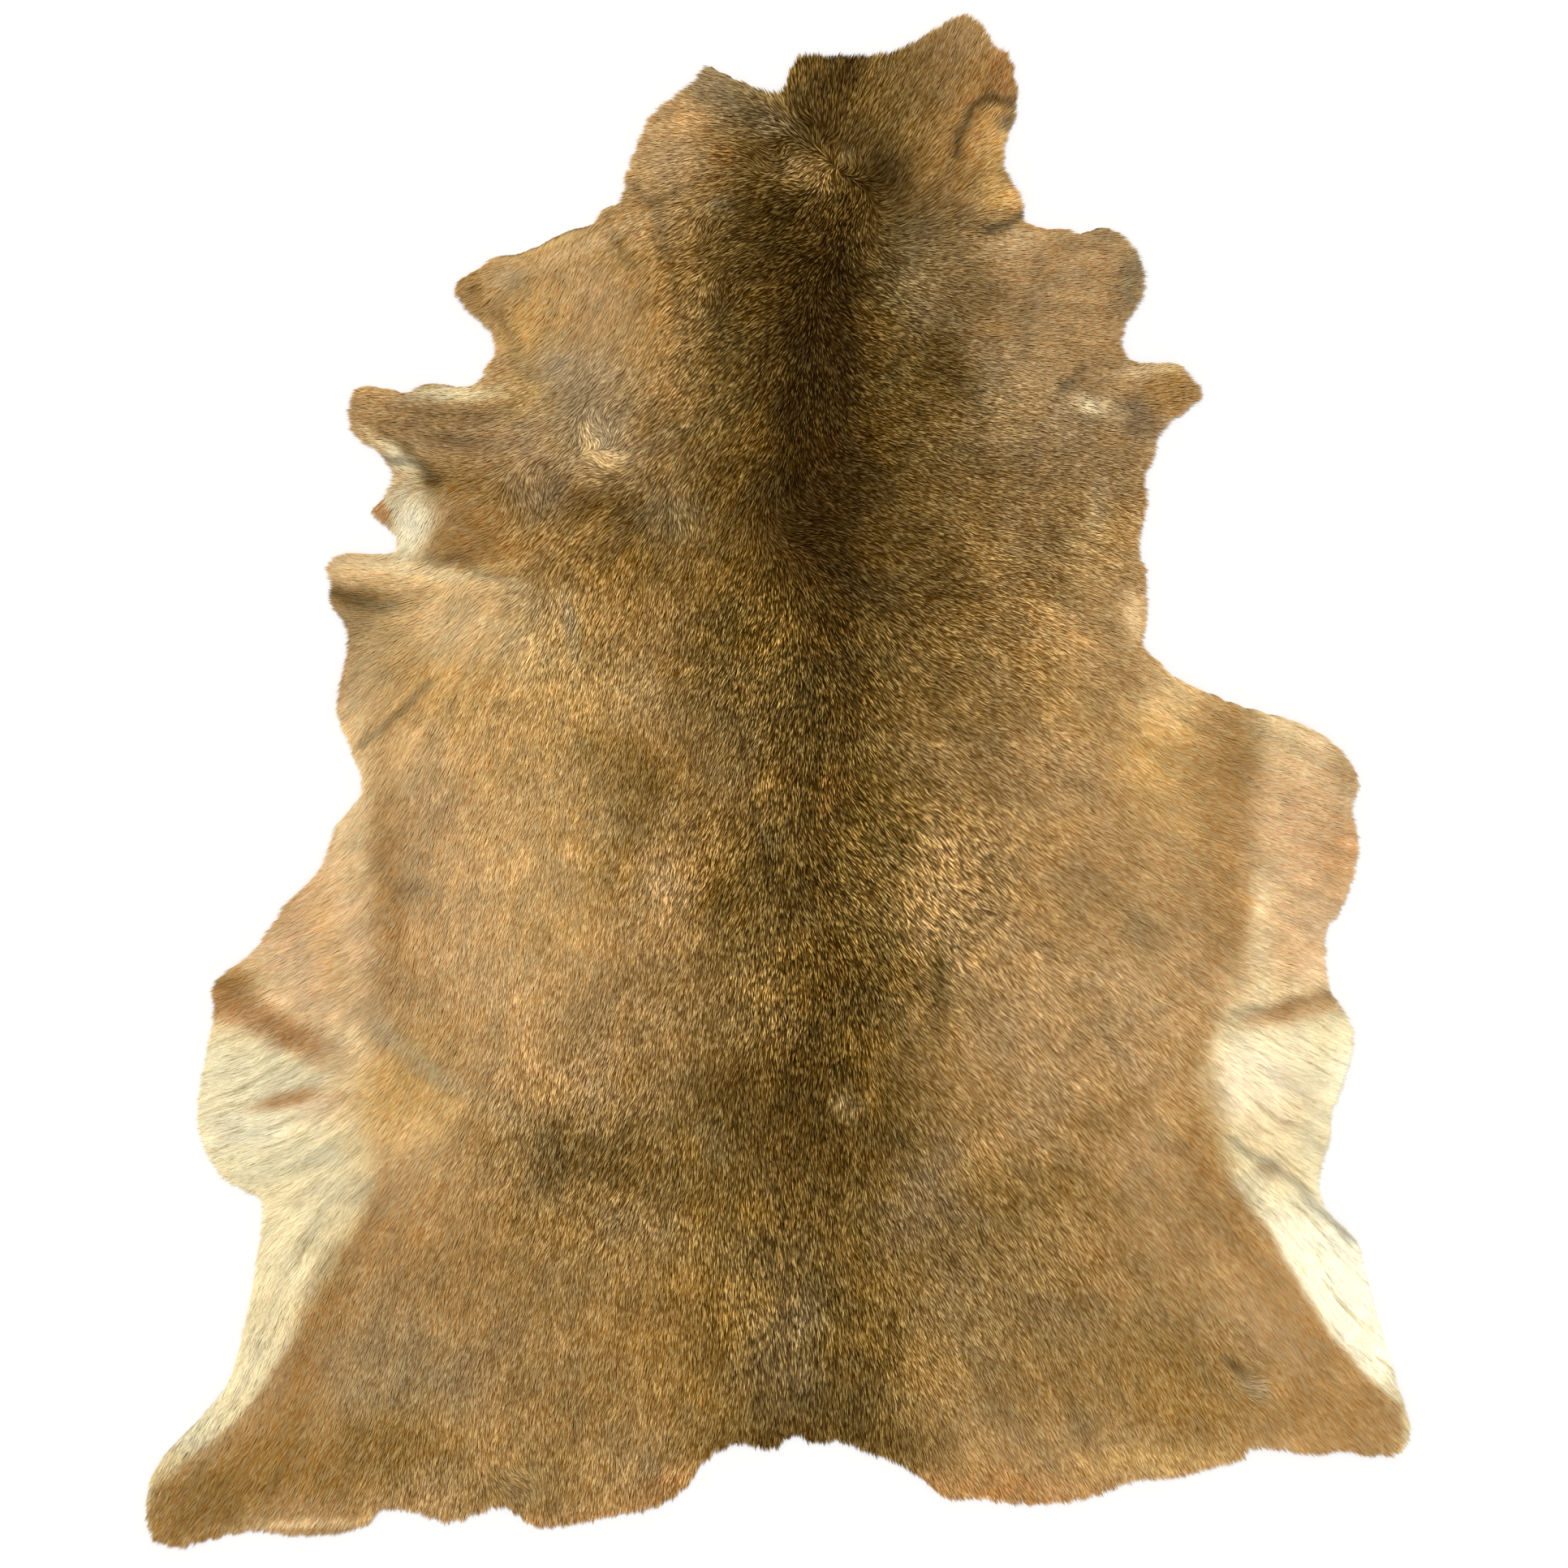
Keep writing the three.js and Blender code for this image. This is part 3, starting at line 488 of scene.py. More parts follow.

# Folds of the skin. Depth is how much lower the hair lies, or higher if less than nothing, and shade is
# the painted shade laid on the hair in the fold, or a painted highlight on a ridge where it is less than
# nothing.
# place, route of across and along, width, depth, painted shade
FOLDS = [
    ("neck crease", [(193, 558), (176, 560), (161, 553), (151, 532), (147, 512)], 4, 1.8, 0.34),
    ("end of the neck crease", [(147, 512), (136, 495), (124, 478), (119, 452)], 7, 0.8, 0.12),
    ("ridge beside the neck crease", [(180, 548), (166, 536), (160, 512)], 9, -1.2, -0.10),
    ("lap of the right neck", [(205, 470), (191, 457), (174, 450)], 4, 2.2, 0.36),
    ("ridge over the lap", [(202, 484), (186, 474), (166, 468)], 9, -1.6, -0.12),
    ("left neck crease", [(-119, 487), (-99, 470), (-92, 430), (-81, 409), (-77, 363)], 5, 1.1, 0.15),
    ("ridge beside the left neck crease", [(-106, 440), (-94, 405), (-92, 370)], 11, -1.0, -0.07),
    ("left shoulder crease", [(-142, 463), (-127, 438), (-121, 422)], 5, 0.9, 0.13),
    ("short shoulder crease", [(-160, 442), (-156, 424), (-150, 414)], 5, 0.5, 0.06),
    ("rim fold of the left shoulder", [(-232, 384), (-214, 356), (-202, 332)], 6, 0.9, 0.12),
    ("fold of the left foreleg", [(-282, 284), (-244, 281), (-206, 273)], 6, 0.7, 0.10),
    ("upper fold of the foreleg", [(-292, 304), (-250, 300), (-216, 304)], 6, 0.6, 0.08),
    ("under the left foreleg", [(-324, 268), (-302, 262), (-279, 249)], 4, 2.2, 0.26),
    ("crease of the right foreleg", [(233, 320), (242, 328), (252, 338)], 4, 1.6, 0.28),
    ("under the pale hollow", [(252, 298), (270, 298), (286, 308)], 5, 1.1, 0.14),
    ("right shoulder fold", [(215, 425), (207, 386), (202, 352)], 8, 0.7, 0.08),
    ("root of the lower flap", [(-286, 184), (-262, 180), (-240, 168), (-220, 166)], 4, 1.6, 0.20),
    ("ridge of the lower flap", [(-350, 170), (-300, 168), (-250, 158)], 12, -1.6, -0.04),
    ("under the lower flap", [(-366, 156), (-340, 148), (-312, 143)], 5, 1.8, 0.16),
    ("behind the golden elbow", [(-212, 162), (-192, 122), (-180, 82)], 7, 0.9, 0.04),
    ("left elbow crease", [(-286, 79), (-310, 54), (-342, 31)], 4, 1.3, 0.20),
    ("rust fold of the left belly", [(-462, -158), (-420, -196), (-362, -220)], 9, 1.8, 0.10),
    ("upper streak fold, left belly", [(-452, -268), (-404, -250), (-356, -232)], 8, 0.6, 0.03),
    ("middle streak fold, left belly", [(-450, -292), (-400, -274), (-350, -262)], 8, 0.6, 0.04),
    ("lower streak fold, left belly", [(-430, -326), (-390, -312), (-346, -300)], 9, 0.7, 0.05),
    ("left thigh scar", [(-300, -484), (-309, -497), (-315, -512)], 3, 1.2, 0.14),
    ("short thigh scar", [(-264, -488), (-252, -500)], 3, 0.6, 0.10),
    ("right thigh scar", [(368, -472), (382, -486)], 4, 1.0, 0.20),
    ("rust fold of the right belly", [(376, -192), (410, -187), (452, -174)], 6, 1.2, 0.16),
    ("fold across the white belly", [(374, -292), (420, -326), (470, -376)], 4, 1.0, 0.14),
    ("dark line of the right ribs", [(137, -130), (134, -165), (127, -200)], 5, 0.8, 0.16),
    ("soft fold of the mid back", [(-20, -20), (-8, -70), (4, -110)], 8, 0.8, 0.12),
    ("soft fold of the left ribs", [(-160, 30), (-140, -10), (-118, -40)], 9, 0.7, 0.06),
]

# Parts of the coat that are meshes of their own: bounds along the hide, and the side of the backbone,
# or 0 for both.
# piece, from, to, side
COAT_PARTS = [
    ("hair_neck", 330, 700, 0),
    ("hair_shoulders", 120, 330, 0),
    ("hair_left_ribs", -100, 120, -1),
    ("hair_right_ribs", -100, 120, 1),
    ("hair_left_loin", -340, -100, -1),
    ("hair_right_loin", -340, -100, 1),
    ("hair_left_rump", -700, -340, -1),
    ("hair_right_rump", -700, -340, 1),
]

# Random fields, by name: grain in millimetres and seed.
FIELDS = {
    "broad waver across": (44, 11),
    "small waver across": (13, 12),
    "broad waver along": (44, 13),
    "small waver along": (13, 14),
    "fine waver of the pale edges": (9, 15),
    "broad waver of the pale edges": (30, 19),
    "start of the pale edges": (20, 31),
    "broad light": (38, 16),
    "middling light": (14, 17),
    "small light": (6, 18),
    "broad warmth": (31, 51),
    "small warmth": (12, 52),
    "broad turn of the hair": (22, 21),
    "small turn of the hair": (7, 22),
    "waver of the folds across": (17, 41),
    "waver of the folds along": (17, 42),
}

# Points lower than this are on the underside.
UNDERSIDE = 0.1

# Sides of the tables of random values, both powers of two.
NOISE_SIDE = 256
WISP_SIDE = 128

# How far edges waver: those of colours broadly and finely, the pale ones and their start, and folds.
BROAD_WAVER = 10
SMALL_WAVER = 5
PALE_EDGE_WAVER = 2
PALE_START_WAVER = 6
FOLD_WAVER = 3

# How much lighter a shallow backbone is, by the distance from its middle in half widths.
LIFT_PLACES = [0, 0.8, 2.0]
LIFT_SHARES = [1, 0.8, 0]

# A patch's bell curve: how fast it falls and how flat its top is, and the size from which it wavers fully.
PATCH_FALL = 0.7
PATCH_FLATNESS = 1.4
FULL_WAVER_SIZE = 28

# Soft light and dark blots: their strength on an even coat, and how much more where it is mixed.
BLOT = 0.02
MIXED_BLOT = 0.08

# Hair counts as pale from this lightness, and fully so when it is lighter by the second value.
PALE_FROM = 0.68
PALE_RANGE = 0.14

# Streaks along the hair: grain, reach and seed, and how much straw colour the wide ones give pale hair.
WIDE_STREAKS = (5.0, 26, 53)
THIN_STREAKS = (1.5, 13, 54)
STRAW_STREAK = 0.40

# Partings, which get painted shade, are the strongest thin streaks: from which value, how much at most,
# and how much of that there is on brown hair.
PARTING_FROM = 0.5
PARTING_MOST = 0.6
BROWN_PARTING = 0.2

# How far roots stray from their lattice, in steps, and how far in from the rim they start, as a share
# of the skin's inset.
ROOT_JITTER = 0.45
ROOT_ROOM = 0.6

# Roots stand back by this share of the hair's length.
STAND_BACK = 0.4

# A lock is widest at this share of its length, and its dash and the painted shade of its fold are read at
# the second share.
WIDEST = 0.55
SEEN = 0.8

# Turns of the hair in degrees: broad, small, small where mixed, of a wisp where mixed and of each lock.
BROAD_TURN = 8
SMALL_TURN = 2
MIXED_TURN = 7
WISP_TURN = 8
OWN_TURN = 3

# A lock's shade: the share of the dashes, and the spread of its own.
DASH_SHARE = 0.20
OWN_SHADE = 0.29

# Width from which a wisp may take its colour, where the coat is mixed.
COLOUR_STRAY = 6

# Share of the pile at the rim, how far in it is whole, and the least of it. Then the skin's least height.
RIM_PILE = 0.35
WHOLE_PILE_REACH = 26
LEAST_PILE = 0.2
LEAST_BED = 1.0

# Lengths of locks: the range that each is drawn from, the least of a wisp and how much more it may be.
LOCK_LENGTHS = (0.85, 1.15)
WISP_LENGTH = 0.92
WISP_LENGTH_RANGE = 0.16

# How far locks may pass the rim, in overhangs: by the wisp, and by the lock. Then the least share kept.
WISP_PASS = 1.6
LOCK_PASS = (-0.6, 0.6)
LEAST_PART = 0.15

# Height of a lock's end, in piles: the common one, what light locks have more, what locks have less for
# each millimetre aside of their wisp, and the range of the random part.
END_LIFT = 0.95
LIGHT_LIFT = 0.4
ASIDE_DROP = 0.06
RANDOM_LIFT = (-0.05, 0.05)

# Past the rim ends hang by this much, and fully so from this far out.
RIM_HANG = 1.2
RIM_HANG_REACH = 3

# How deep roots sink into the skin, the least height of an end and of any point, and of a side in piles.
ROOT_SINK = 0.2
LEAST_END = 0.5
LEAST_POINT = 0.3
SIDE_PILE = 0.2

# Widths of locks: the range that each is drawn from, the length from which they are whole and the least.
LOCK_WIDTHS = (0.8, 1.2)
WHOLE_WIDTH_LENGTH = 12
LEAST_WIDTH = 0.55

# How far one side of a lock is higher than its ridge where the coat is mixed, in lock widths.
LOCK_TILT = (-0.25, 0.25)

# How far in from the rim the skin's points are drawn in.
INSET_REACH = 8

# Contrast of locks: how many times as light as the darkest the lightest is where the coat is wholly
# mixed, and how that grows with the mixture.
CONTRAST = 38.0
CONTRAST_GROWTH = 1.7

# Hue of the whole coat, where 0.5 changes nothing, and how much yellower and greyer light locks are.
COAT_HUE = 0.504
LIGHT_HUE = 0.026
LIGHT_GREY = 0.26


def pigment(name, description, code):
    """A colour setting whose default is a web colour code."""
    shares = [int(code[at : at + 2], 16) / 255 for at in (1, 3, 5)]
    return FloatVectorProperty(
        name=name, description=description, subtype="COLOR_GAMMA", size=3, min=0, max=1, default=shares
    )


def size(name, description, default, low=0.0):
    """A length setting in metres."""
    return FloatProperty(
        name=name, description=description, default=default, min=low, precision=4, unit="LENGTH"
    )


def share(name, description, default, high=1.0):
    """A plain number setting."""
    return FloatProperty(name=name, description=description, default=default, min=0, max=high)


class HideColours(bpy.types.PropertyGroup):
    """Pigments of the coat and of the tanned skin."""

    core: pigment("Core", "Darkest hair of the backbone", "#3d270a")
    umber: pigment("Umber", "Dark brown hair beside the backbone", "#5e4218")
    olive: pigment("Olive", "Olive brown hair of the back", "#7c5c2a")
    bronze: pigment("Bronze", "Dark orange brown hair of the ribs", "#986f32")
    brown: pigment("Brown", "Brown hair of the back and rump", "#9a7440")
    ochre: pigment("Ochre", "Orange brown hair", "#a97c40")
    tan: pigment("Tan", "Tan hair of the sides", "#b48c59")
    pink_tan: pigment("Pink tan", "Pinkish tan hair of the ribs", "#c7a06c")
    golden: pigment("Golden", "Golden hair of the shoulders and ribs", "#d0a45d")
    pale_gold: pigment("Pale gold", "Pale golden hair of the elbows", "#e0c08c")
    cream: pigment("Cream", "Cream hair of the belly", "#e5d5aa")
    white: pigment("White", "Whitest hair of the belly and legs", "#f6f0d6")
    straw: pigment("Straw", "Greenish pale hair of the belly", "#dfd3ae")
    pink: pigment("Pink", "Pinkish hair of the belly", "#d2aa7c")
    rust: pigment("Rust", "Rust coloured hair", "#b67c42")
    grey: pigment("Grey", "Grey brown hair", "#927a54")
    taupe: pigment("Taupe", "Purplish grey hair", "#8a7050")
    ash: pigment("Ash", "Light grey hair", "#b7a07a")
    skin: pigment("Skin", "Fuzzy side of the tanned skin", "#d9c9ac")


class HideSizes(bpy.types.PropertyGroup):
    """Sizes of the skin and of its hair."""

    spacing: size("Hair spacing", "Distance between two locks of hair", 0.00143, 0.0005)
    lock_width: size("Lock width", "Width of a lock where it is widest", 0.0011)
    pile: size("Pile", "Height of the lying hair above the skin", 0.0048)
    overhang: size("Overhang", "How far hair ends may pass the rim", 0.0022)
    inset: size("Inset", "How far the skin's edge lies inside the hair ends", 0.0025)
    wisp: size("Wisp", "Distance between two wisps, in which locks draw together", 0.0018)
    wisp_stretch: share("Wisp stretch", "How much longer than wide a wisp is", 3.0, 10)
    lock_bow: share("Lock bow", "How far a lock's sides fall, in lock widths", 0.18)
    gather: share("Gather", "How far hair ends are drawn to the middle of their wisp", 0.08)
    dash: size("Dash", "Width of the light and dark dashes of the coat", 0.0006, 0.0002)
    dash_reach: size("Dash reach", "Half the length of those dashes", 0.0016)
    seed: IntProperty(name="Seed", description="Start of every random draw", default=7)


class HideStage(bpy.types.PropertyGroup):
    """The floor, the light and the camera."""

    view_height: size("View height", "Height of the camera above the floor", 2.6)
    view_side: size("View side", "Side of the square that the camera takes in", 1.288)
    view_across: FloatProperty(
        name="View across", description="Where the camera stands, across", default=0.0055, unit="LENGTH"
    )
    view_along: FloatProperty(
        name="View along", description="Where the camera stands, along", default=-0.0017, unit="LENGTH"
    )
    floor_side: size("Floor side", "Side of the square floor", 14.0)
    floor_colour: pigment("Floor", "Pale floor", "#fbfaf9")
    key_power: share("Key light", "Strength of the soft light from one side", 1.92, 20)
    sky_power: share("Sky light", "Strength of the light from all sides", 0.50, 5)


def settings():
    """The three groups of settings, which the scene holds."""
    scene = bpy.context.scene
    return scene.hide_colours, scene.hide_sizes, scene.hide_stage


class Raster:
    """Numbers on a square lattice over the hide, blended between its four nearest points."""

    def __init__(self, left, bottom, step, values):
        self.left = left
        self.bottom = bottom
        self.step = step
        self.values = values

    def at(self, across, along):
        """Bilinear blend: the four corner values, each weighted by the area opposite to it."""
        rows, columns = self.values.shape
        u = np.clip((across - self.left) / self.step, 0, columns - 1.001)
        v = np.clip((along - self.bottom) / self.step, 0, rows - 1.001)
        i = u.astype(int)
        j = v.astype(int)
        u -= i
        v -= j
        low = self.values[j, i] * (1 - u) + self.values[j, i + 1] * u
        high = self.values[j + 1, i] * (1 - u) + self.values[j + 1, i + 1] * u
        return low * (1 - v) + high * v

    def slope(self):
        """Two rasters: how fast the values grow across and along."""
        along, across = np.gradient(self.values, self.step)
        return (
            Raster(self.left, self.bottom, self.step, across),
            Raster(self.left, self.bottom, self.step, along),
        )


class Ground:
    """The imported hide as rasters: the height of its upper face and the distance in from its rim."""

    STEP = 4.0
    MARGIN = 24.0
    ABOVE = 100.0
    RIM_HEIGHT = 3.0

    def __init__(self, node):
        low, high = (np.array(corner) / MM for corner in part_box(node.name))
        columns = np.arange(low[0] - self.MARGIN, high[0] + self.MARGIN, self.STEP)
        rows = np.arange(low[1] - self.MARGIN, high[1] + self.MARGIN, self.STEP)
        across, along = np.meshgrid(columns, rows)
        self.points, self.triangles = welded(node)
        heights = self.drop(node, across, along)
        inside = rim_distance(self.rim(), across, along)
        corner = (columns[0], rows[0], self.STEP)
        self.height = Raster(*corner, heights)
        self.inside = Raster(*corner, inside)
        self.inward = self.inside.slope()

    def rim(self):
        """Start and end of each edge that only one triangle of the underside uses."""
        level = self.points[self.triangles][:, :, 2].max(axis=1) < UNDERSIDE
        under = self.triangles[level]
        edges = np.sort(np.concatenate([under[:, [0, 1]], under[:, [1, 2]], under[:, [2, 0]]]), axis=1)
        edges, uses = np.unique(edges, axis=0, return_counts=True)
        return self.points[edges[uses == 1]][:, :, :2]

    def drop(self, node, across, along):
        """Height of the upper face at each lattice point, by points that fall straight down on it."""
        start = np.stack([across, along, np.full(across.shape, self.ABOVE)], axis=-1).reshape(-1, 3)
        mesh = bpy.data.meshes.new("drop")
        mesh.from_pydata((start * MM).tolist(), [], [])
        piece = bpy.data.objects.new("drop", mesh)
        bpy.context.scene.collection.objects.link(piece)
        fall = piece.modifiers.new("fall", "SHRINKWRAP")
        fall.wrap_method = "PROJECT"
        fall.use_project_z = True
        fall.use_positive_direction = False
        fall.use_negative_direction = True
        fall.target = node
        shown = piece.evaluated_get(bpy.context.evaluated_depsgraph_get()).data
        landed = np.empty(len(start) * 3, np.float32)
        shown.vertices.foreach_get("co", landed)
        bpy.data.objects.remove(piece)
        bpy.data.meshes.remove(mesh)
        heights = landed.reshape(-1, 3)[:, 2].astype(float) / MM
        missed = heights > self.ABOVE - 1
        return np.where(missed, self.RIM_HEIGHT, heights).reshape(across.shape)


def welded(node):
    """The node's points in millimetres, with doubles made one, and its triangles as numbers of them."""
    mesh = node.data
    mesh.calc_loop_triangles()
    places = np.empty(len(mesh.vertices) * 3, np.float32)
    mesh.vertices.foreach_get("co", places)
    corners = np.empty(len(mesh.loop_triangles) * 3, np.int32)
    mesh.loop_triangles.foreach_get("vertices", corners)
    places = places.reshape(-1, 3).astype(float) / MM
    _, first, number = np.unique(np.round(places, 3), axis=0, return_index=True, return_inverse=True)
    return places[first], number.reshape(-1)[corners].reshape(-1, 3)


def rim_distance(edges, across, along):
    """Distance to the nearest rim edge, less than nothing outside, where crossings are even in number."""
    start = edges[:, 0]
    run = edges[:, 1] - start
    length = np.maximum((run**2).sum(axis=1), 1e-9)
    rows = []
    for x, y in zip(across, along):
        dx = x[:, None] - start[:, 0]
        dy = y[:, None] - start[:, 1]
        along_edge = np.clip((dx * run[:, 0] + dy * run[:, 1]) / length, 0, 1)
        gap = np.hypot(dx - along_edge * run[:, 0], dy - along_edge * run[:, 1]).min(axis=1)
        spans = (start[:, 1] > y[0]) != (edges[:, 1, 1] > y[0])
        rise = np.where(spans, run[:, 1], 1)
        crossed = start[:, 0] + (y[0] - start[:, 1]) * run[:, 0] / rise
        odd = ((crossed > x[:, None]) & spans).sum(axis=1) % 2 == 1
        rows.append(np.where(odd, gap, -gap))
    return np.array(rows)


@functools.cache
def ground():
    """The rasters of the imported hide, worked out once."""
    return Ground(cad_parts["hide"])


def noise(across, along, grain, seed):
    """Smooth field from -1 to 1: random values on a turned square lattice, blended by smoothstep."""
    table = np.random.default_rng(seed).random((NOISE_SIDE, NOISE_SIDE)) * 2 - 1
    last = NOISE_SIDE - 1
    u = (across * math.cos(seed) + along * math.sin(seed)) / grain
    v = (along * math.cos(seed) - across * math.sin(seed)) / grain
    i = np.floor(u).astype(int)
    j = np.floor(v).astype(int)
    u = u - i
    v = v - j
    u = u * u * (3 - 2 * u)
    v = v * v * (3 - 2 * v)
    low = table[i & last, j & last] * (1 - u) + table[(i + 1) & last, j & last] * u
    high = table[i & last, (j + 1) & last] * (1 - u) + table[(i + 1) & last, (j + 1) & last] * u
    return low * (1 - v) + high * v


def field(name, across, along):
    """The named random field."""
    grain, seed = FIELDS[name]
    return noise(across, along, grain, seed)


def streaks(across, along, heading, grain, reach, seed):
    """Random field drawn out along the hair: a sum of samples of noise along the heading.

    The samples are at most one grain apart. The sum is divided by the root of their count, and scaled so
    that most values are between -1 and 1.
    """
    fewest = 7
    scale = 0.83
    count = max(fewest, math.ceil(2 * reach / grain) + 1)
    total = np.zeros(across.shape)
    for ahead in np.linspace(-reach, reach, count):
        total += noise(across + ahead * np.cos(heading), along + ahead * np.sin(heading), grain, seed)
    return total / (scale * math.sqrt(count))


def wisps(across, along, heading, grain, stretch, seed):
    """The wisp that each hair belongs to: offsets ahead and to the left of it, and three random numbers.

    One point is scattered in each lattice square. The nearest counts, with lengths along the hair shrunk
    by stretch.
    """
    table = np.random.default_rng(seed).random((WISP_SIDE, WISP_SIDE, 5)).astype(np.float32)
    last = WISP_SIDE - 1
    column = np.floor(across / grain).astype(int)
    row = np.floor(along / grain).astype(int)
    c = np.cos(heading)
    s = np.sin(heading)
    nearest = np.full(across.shape, np.inf)
    found = np.zeros(across.shape + (5,))
    for right in range(-2, 3):
        for up in range(-2, 3):
            draw = table[(column + right) & last, (row + up) & last]
            dx = (column + right + draw[..., 0]) * grain - across
            dy = (row + up + draw[..., 1]) * grain - along
            ahead = dx * c + dy * s
            left = dy * c - dx * s
            gap = (ahead / stretch) ** 2 + left**2
            nearer = gap < nearest
            nearest = np.where(nearer, gap, nearest)
            found[nearer, 0] = ahead[nearer]
            found[nearer, 1] = left[nearer]
            found[nearer, 2:] = draw[nearer, 2:]
    return found[..., 0], found[..., 1], found[..., 2:]


def pale_coat(across, along, edge, side, colours):
    """Weight and colour of the pale hair past an edge.

    The weight is a soft step, 0 on the backbone's side and 1 on the outer side, by a logistic curve. It
    ends above the first row of the edge. The colour is blended between the rows.
    """
    soft_share = 0.4
    rows = sorted(edge)
    levels = [row[0] for row in rows]
    at = np.interp(along, levels, [row[1] for row in rows])
    soft = np.interp(along, levels, [row[2] for row in rows])
    paints = np.array([getattr(colours, row[3]) for row in rows])
    paint = np.stack([np.interp(along, levels, paints[:, part]) for part in range(3)], axis=-1)
    start = levels[-1] + field("start of the pale edges", across, along) * PALE_START_WAVER
    weight = 1 / (1 + np.exp(-side * (across - at) / (soft_share * soft)))
    return weight / (1 + np.exp((along - start) / PALE_START_WAVER)), paint


def bands(across, along, colours):
    """Colour by the distance from the backbone, in half widths of its dark hair."""
    rows = np.array(sorted(BACKBONE))
    middle, wide, depth = (np.interp(along, rows[:, 0], rows[:, at]) for at in (1, 2, 3))
    out = np.abs(across - middle) / wide
    stops = [stop for stop, _ in BANDS]
    paints = np.array([getattr(colours, name) for _, name in BANDS])
    paint = np.stack([np.interp(out, stops, paints[:, at]) for at in range(3)], axis=-1)
    lighter = np.array(colours.olive) - np.array(colours.core)
    lift = (1 - depth) * np.interp(out, LIFT_PLACES, LIFT_SHARES)
    return paint + lift[..., None] * lighter


def laid_over(paint, colour, weight):
    """A colour laid over paint, by the weight at each point."""
    return paint + (np.array(colour) - paint) * weight[..., None]


def patched(paint, across, along, waver, colours):
    """Lays the patches over paint, each by a bell curve with a flat top. Small ones waver less."""
    for _, middle, level, wide, tall, turn, name, strength in PATCHES:
        reach = 2.1 * max(wide, tall) + BROAD_WAVER + SMALL_WAVER
        near = (np.abs(across - middle) < reach) & (np.abs(along - level) < reach)
        shake = min(max(min(wide, tall) / FULL_WAVER_SIZE, 0.2), 1)
        x = across[near] + waver[0][near] * shake - middle
        y = along[near] + waver[1][near] * shake - level
        c = math.cos(math.radians(turn))
        s = math.sin(math.radians(turn))
        gap = ((x * c + y * s) / wide) ** 2 + ((y * c - x * s) / tall) ** 2
        weight = strength * np.exp(-PATCH_FALL * gap**PATCH_FLATNESS)
        paint[near] = laid_over(paint[near], getattr(colours, name), weight)
    return paint


def mottled(paint, across, along, heading, mixed, colours):
    """Paint with soft blots, stronger where the coat is mixed, and with long streaks.

    The streaks and the painted shade of the thin partings between them show on pale hair, and hardly on
    brown hair.
    """
    warm = field("broad warmth", across, along) + 0.5 * field("small warmth", across, along)
    paint = paint * (1 + (warm * mixed)[..., None] * WARM_TINT)
    light = field("broad light", across, along) + field("middling light", across, along)
    light += 0.7 * field("small light", across, along)
    paint = paint * (1 + (BLOT + MIXED_BLOT * mixed) * light)[..., None]
    pale = np.clip((paint.mean(axis=-1) - PALE_FROM) / PALE_RANGE, 0, 1)
    wide_streaks = streaks(across, along, heading, *WIDE_STREAKS)
    thin_streaks = streaks(across, along, heading, *THIN_STREAKS)
    # Painted shade in the thin partings between streaks of hair.
    painted_parting_shade = np.clip(thin_streaks - PARTING_FROM, 0, PARTING_MOST)
    painted_parting_shade *= BROWN_PARTING + (1 - BROWN_PARTING) * pale
    paint = paint * (1 - painted_parting_shade[..., None] * PARTING_SHADE)
    paint = laid_over(paint, colours.straw, np.clip(wide_streaks, 0, 1) * STRAW_STREAK * pale)
    return paint * (1 + 0.035 * wide_streaks - 0.02 * thin_streaks)[..., None]


def wavering(way, across, along):
    """How far colour edges waver in one way, across or along: a broad field and a small one."""
    broad = field("broad waver " + way, across, along)
    small = field("small waver " + way, across, along)
    return broad * BROAD_WAVER + small * SMALL_WAVER


def coat_paint(across, along, heading, mixed, colours):
    """Coat colour as shown on a screen: bands, pale belly and legs, patches, then mottle with painted
    shade in the partings.
    """
    waver = [wavering(way, across, along) for way in ("across", "along")]
    paint = bands(across + waver[0] * 1.3, along + waver[1], colours)
    edge_waver = field("fine waver of the pale edges", across, along)
    edge_waver += field("broad waver of the pale edges", across, along)
    near_x = across + edge_waver * PALE_EDGE_WAVER
    for edge, side in ((LEFT_PALE_EDGE, -1), (RIGHT_PALE_EDGE, 1)):
        weight, pale = pale_coat(near_x, along, edge, side, colours)
        paint = laid_over(paint, pale, weight)
    paint = patched(paint, across, along, waver, colours)
    return mottled(paint, across, along, heading, mixed, colours)


def to_light(paint):
    """Screen colours as amounts of light: the standard curve, with its straight start."""
    paint = np.clip(paint, 0, 1)
    return np.where(paint <= 0.04045, paint / 12.92, ((paint + 0.055) / 1.055) ** 2.4)


def hair_lie(across, along):
    """Heading in radians, hair length and mixture: means of the table's rows, weighted by bell curves.

    Each whorl then turns the heading near its middle.
    """
    right = np.zeros(across.shape)
    up = np.zeros(across.shape)
    length = np.zeros(across.shape)
    mixture = np.zeros(across.shape)
    total = np.full(across.shape, 1e-9)
    for _, middle, level, reach, heading, hair, mixed in LIE:
        weight = np.exp(-((across - middle) ** 2 + (along - level) ** 2) / (2 * reach**2)) + 1e-7
        right += weight * math.cos(math.radians(heading))
        up += weight * math.sin(math.radians(heading))
        length += weight * hair
        mixture += weight * mixed
        total += weight
    heading = np.arctan2(up, right)
    for _, middle, level, reach, turn in WHORLS:
        gap = ((across - middle) ** 2 + (along - level) ** 2) / reach**2
        heading += math.radians(turn) * np.exp(-gap)
    return heading, length / total, mixture / total


def route_gap(across, along, route):
    """Distance to the nearest point of a route of straight runs."""
    gap = np.full(across.shape, np.inf)
    for (x0, y0), (x1, y1) in zip(route, route[1:]):
        run_x = x1 - x0
        run_y = y1 - y0
        part = ((across - x0) * run_x + (along - y0) * run_y) / (run_x**2 + run_y**2)
        part = np.clip(part, 0, 1)
        gap = np.minimum(gap, np.hypot(across - x0 - part * run_x, along - y0 - part * run_y))
    return gap


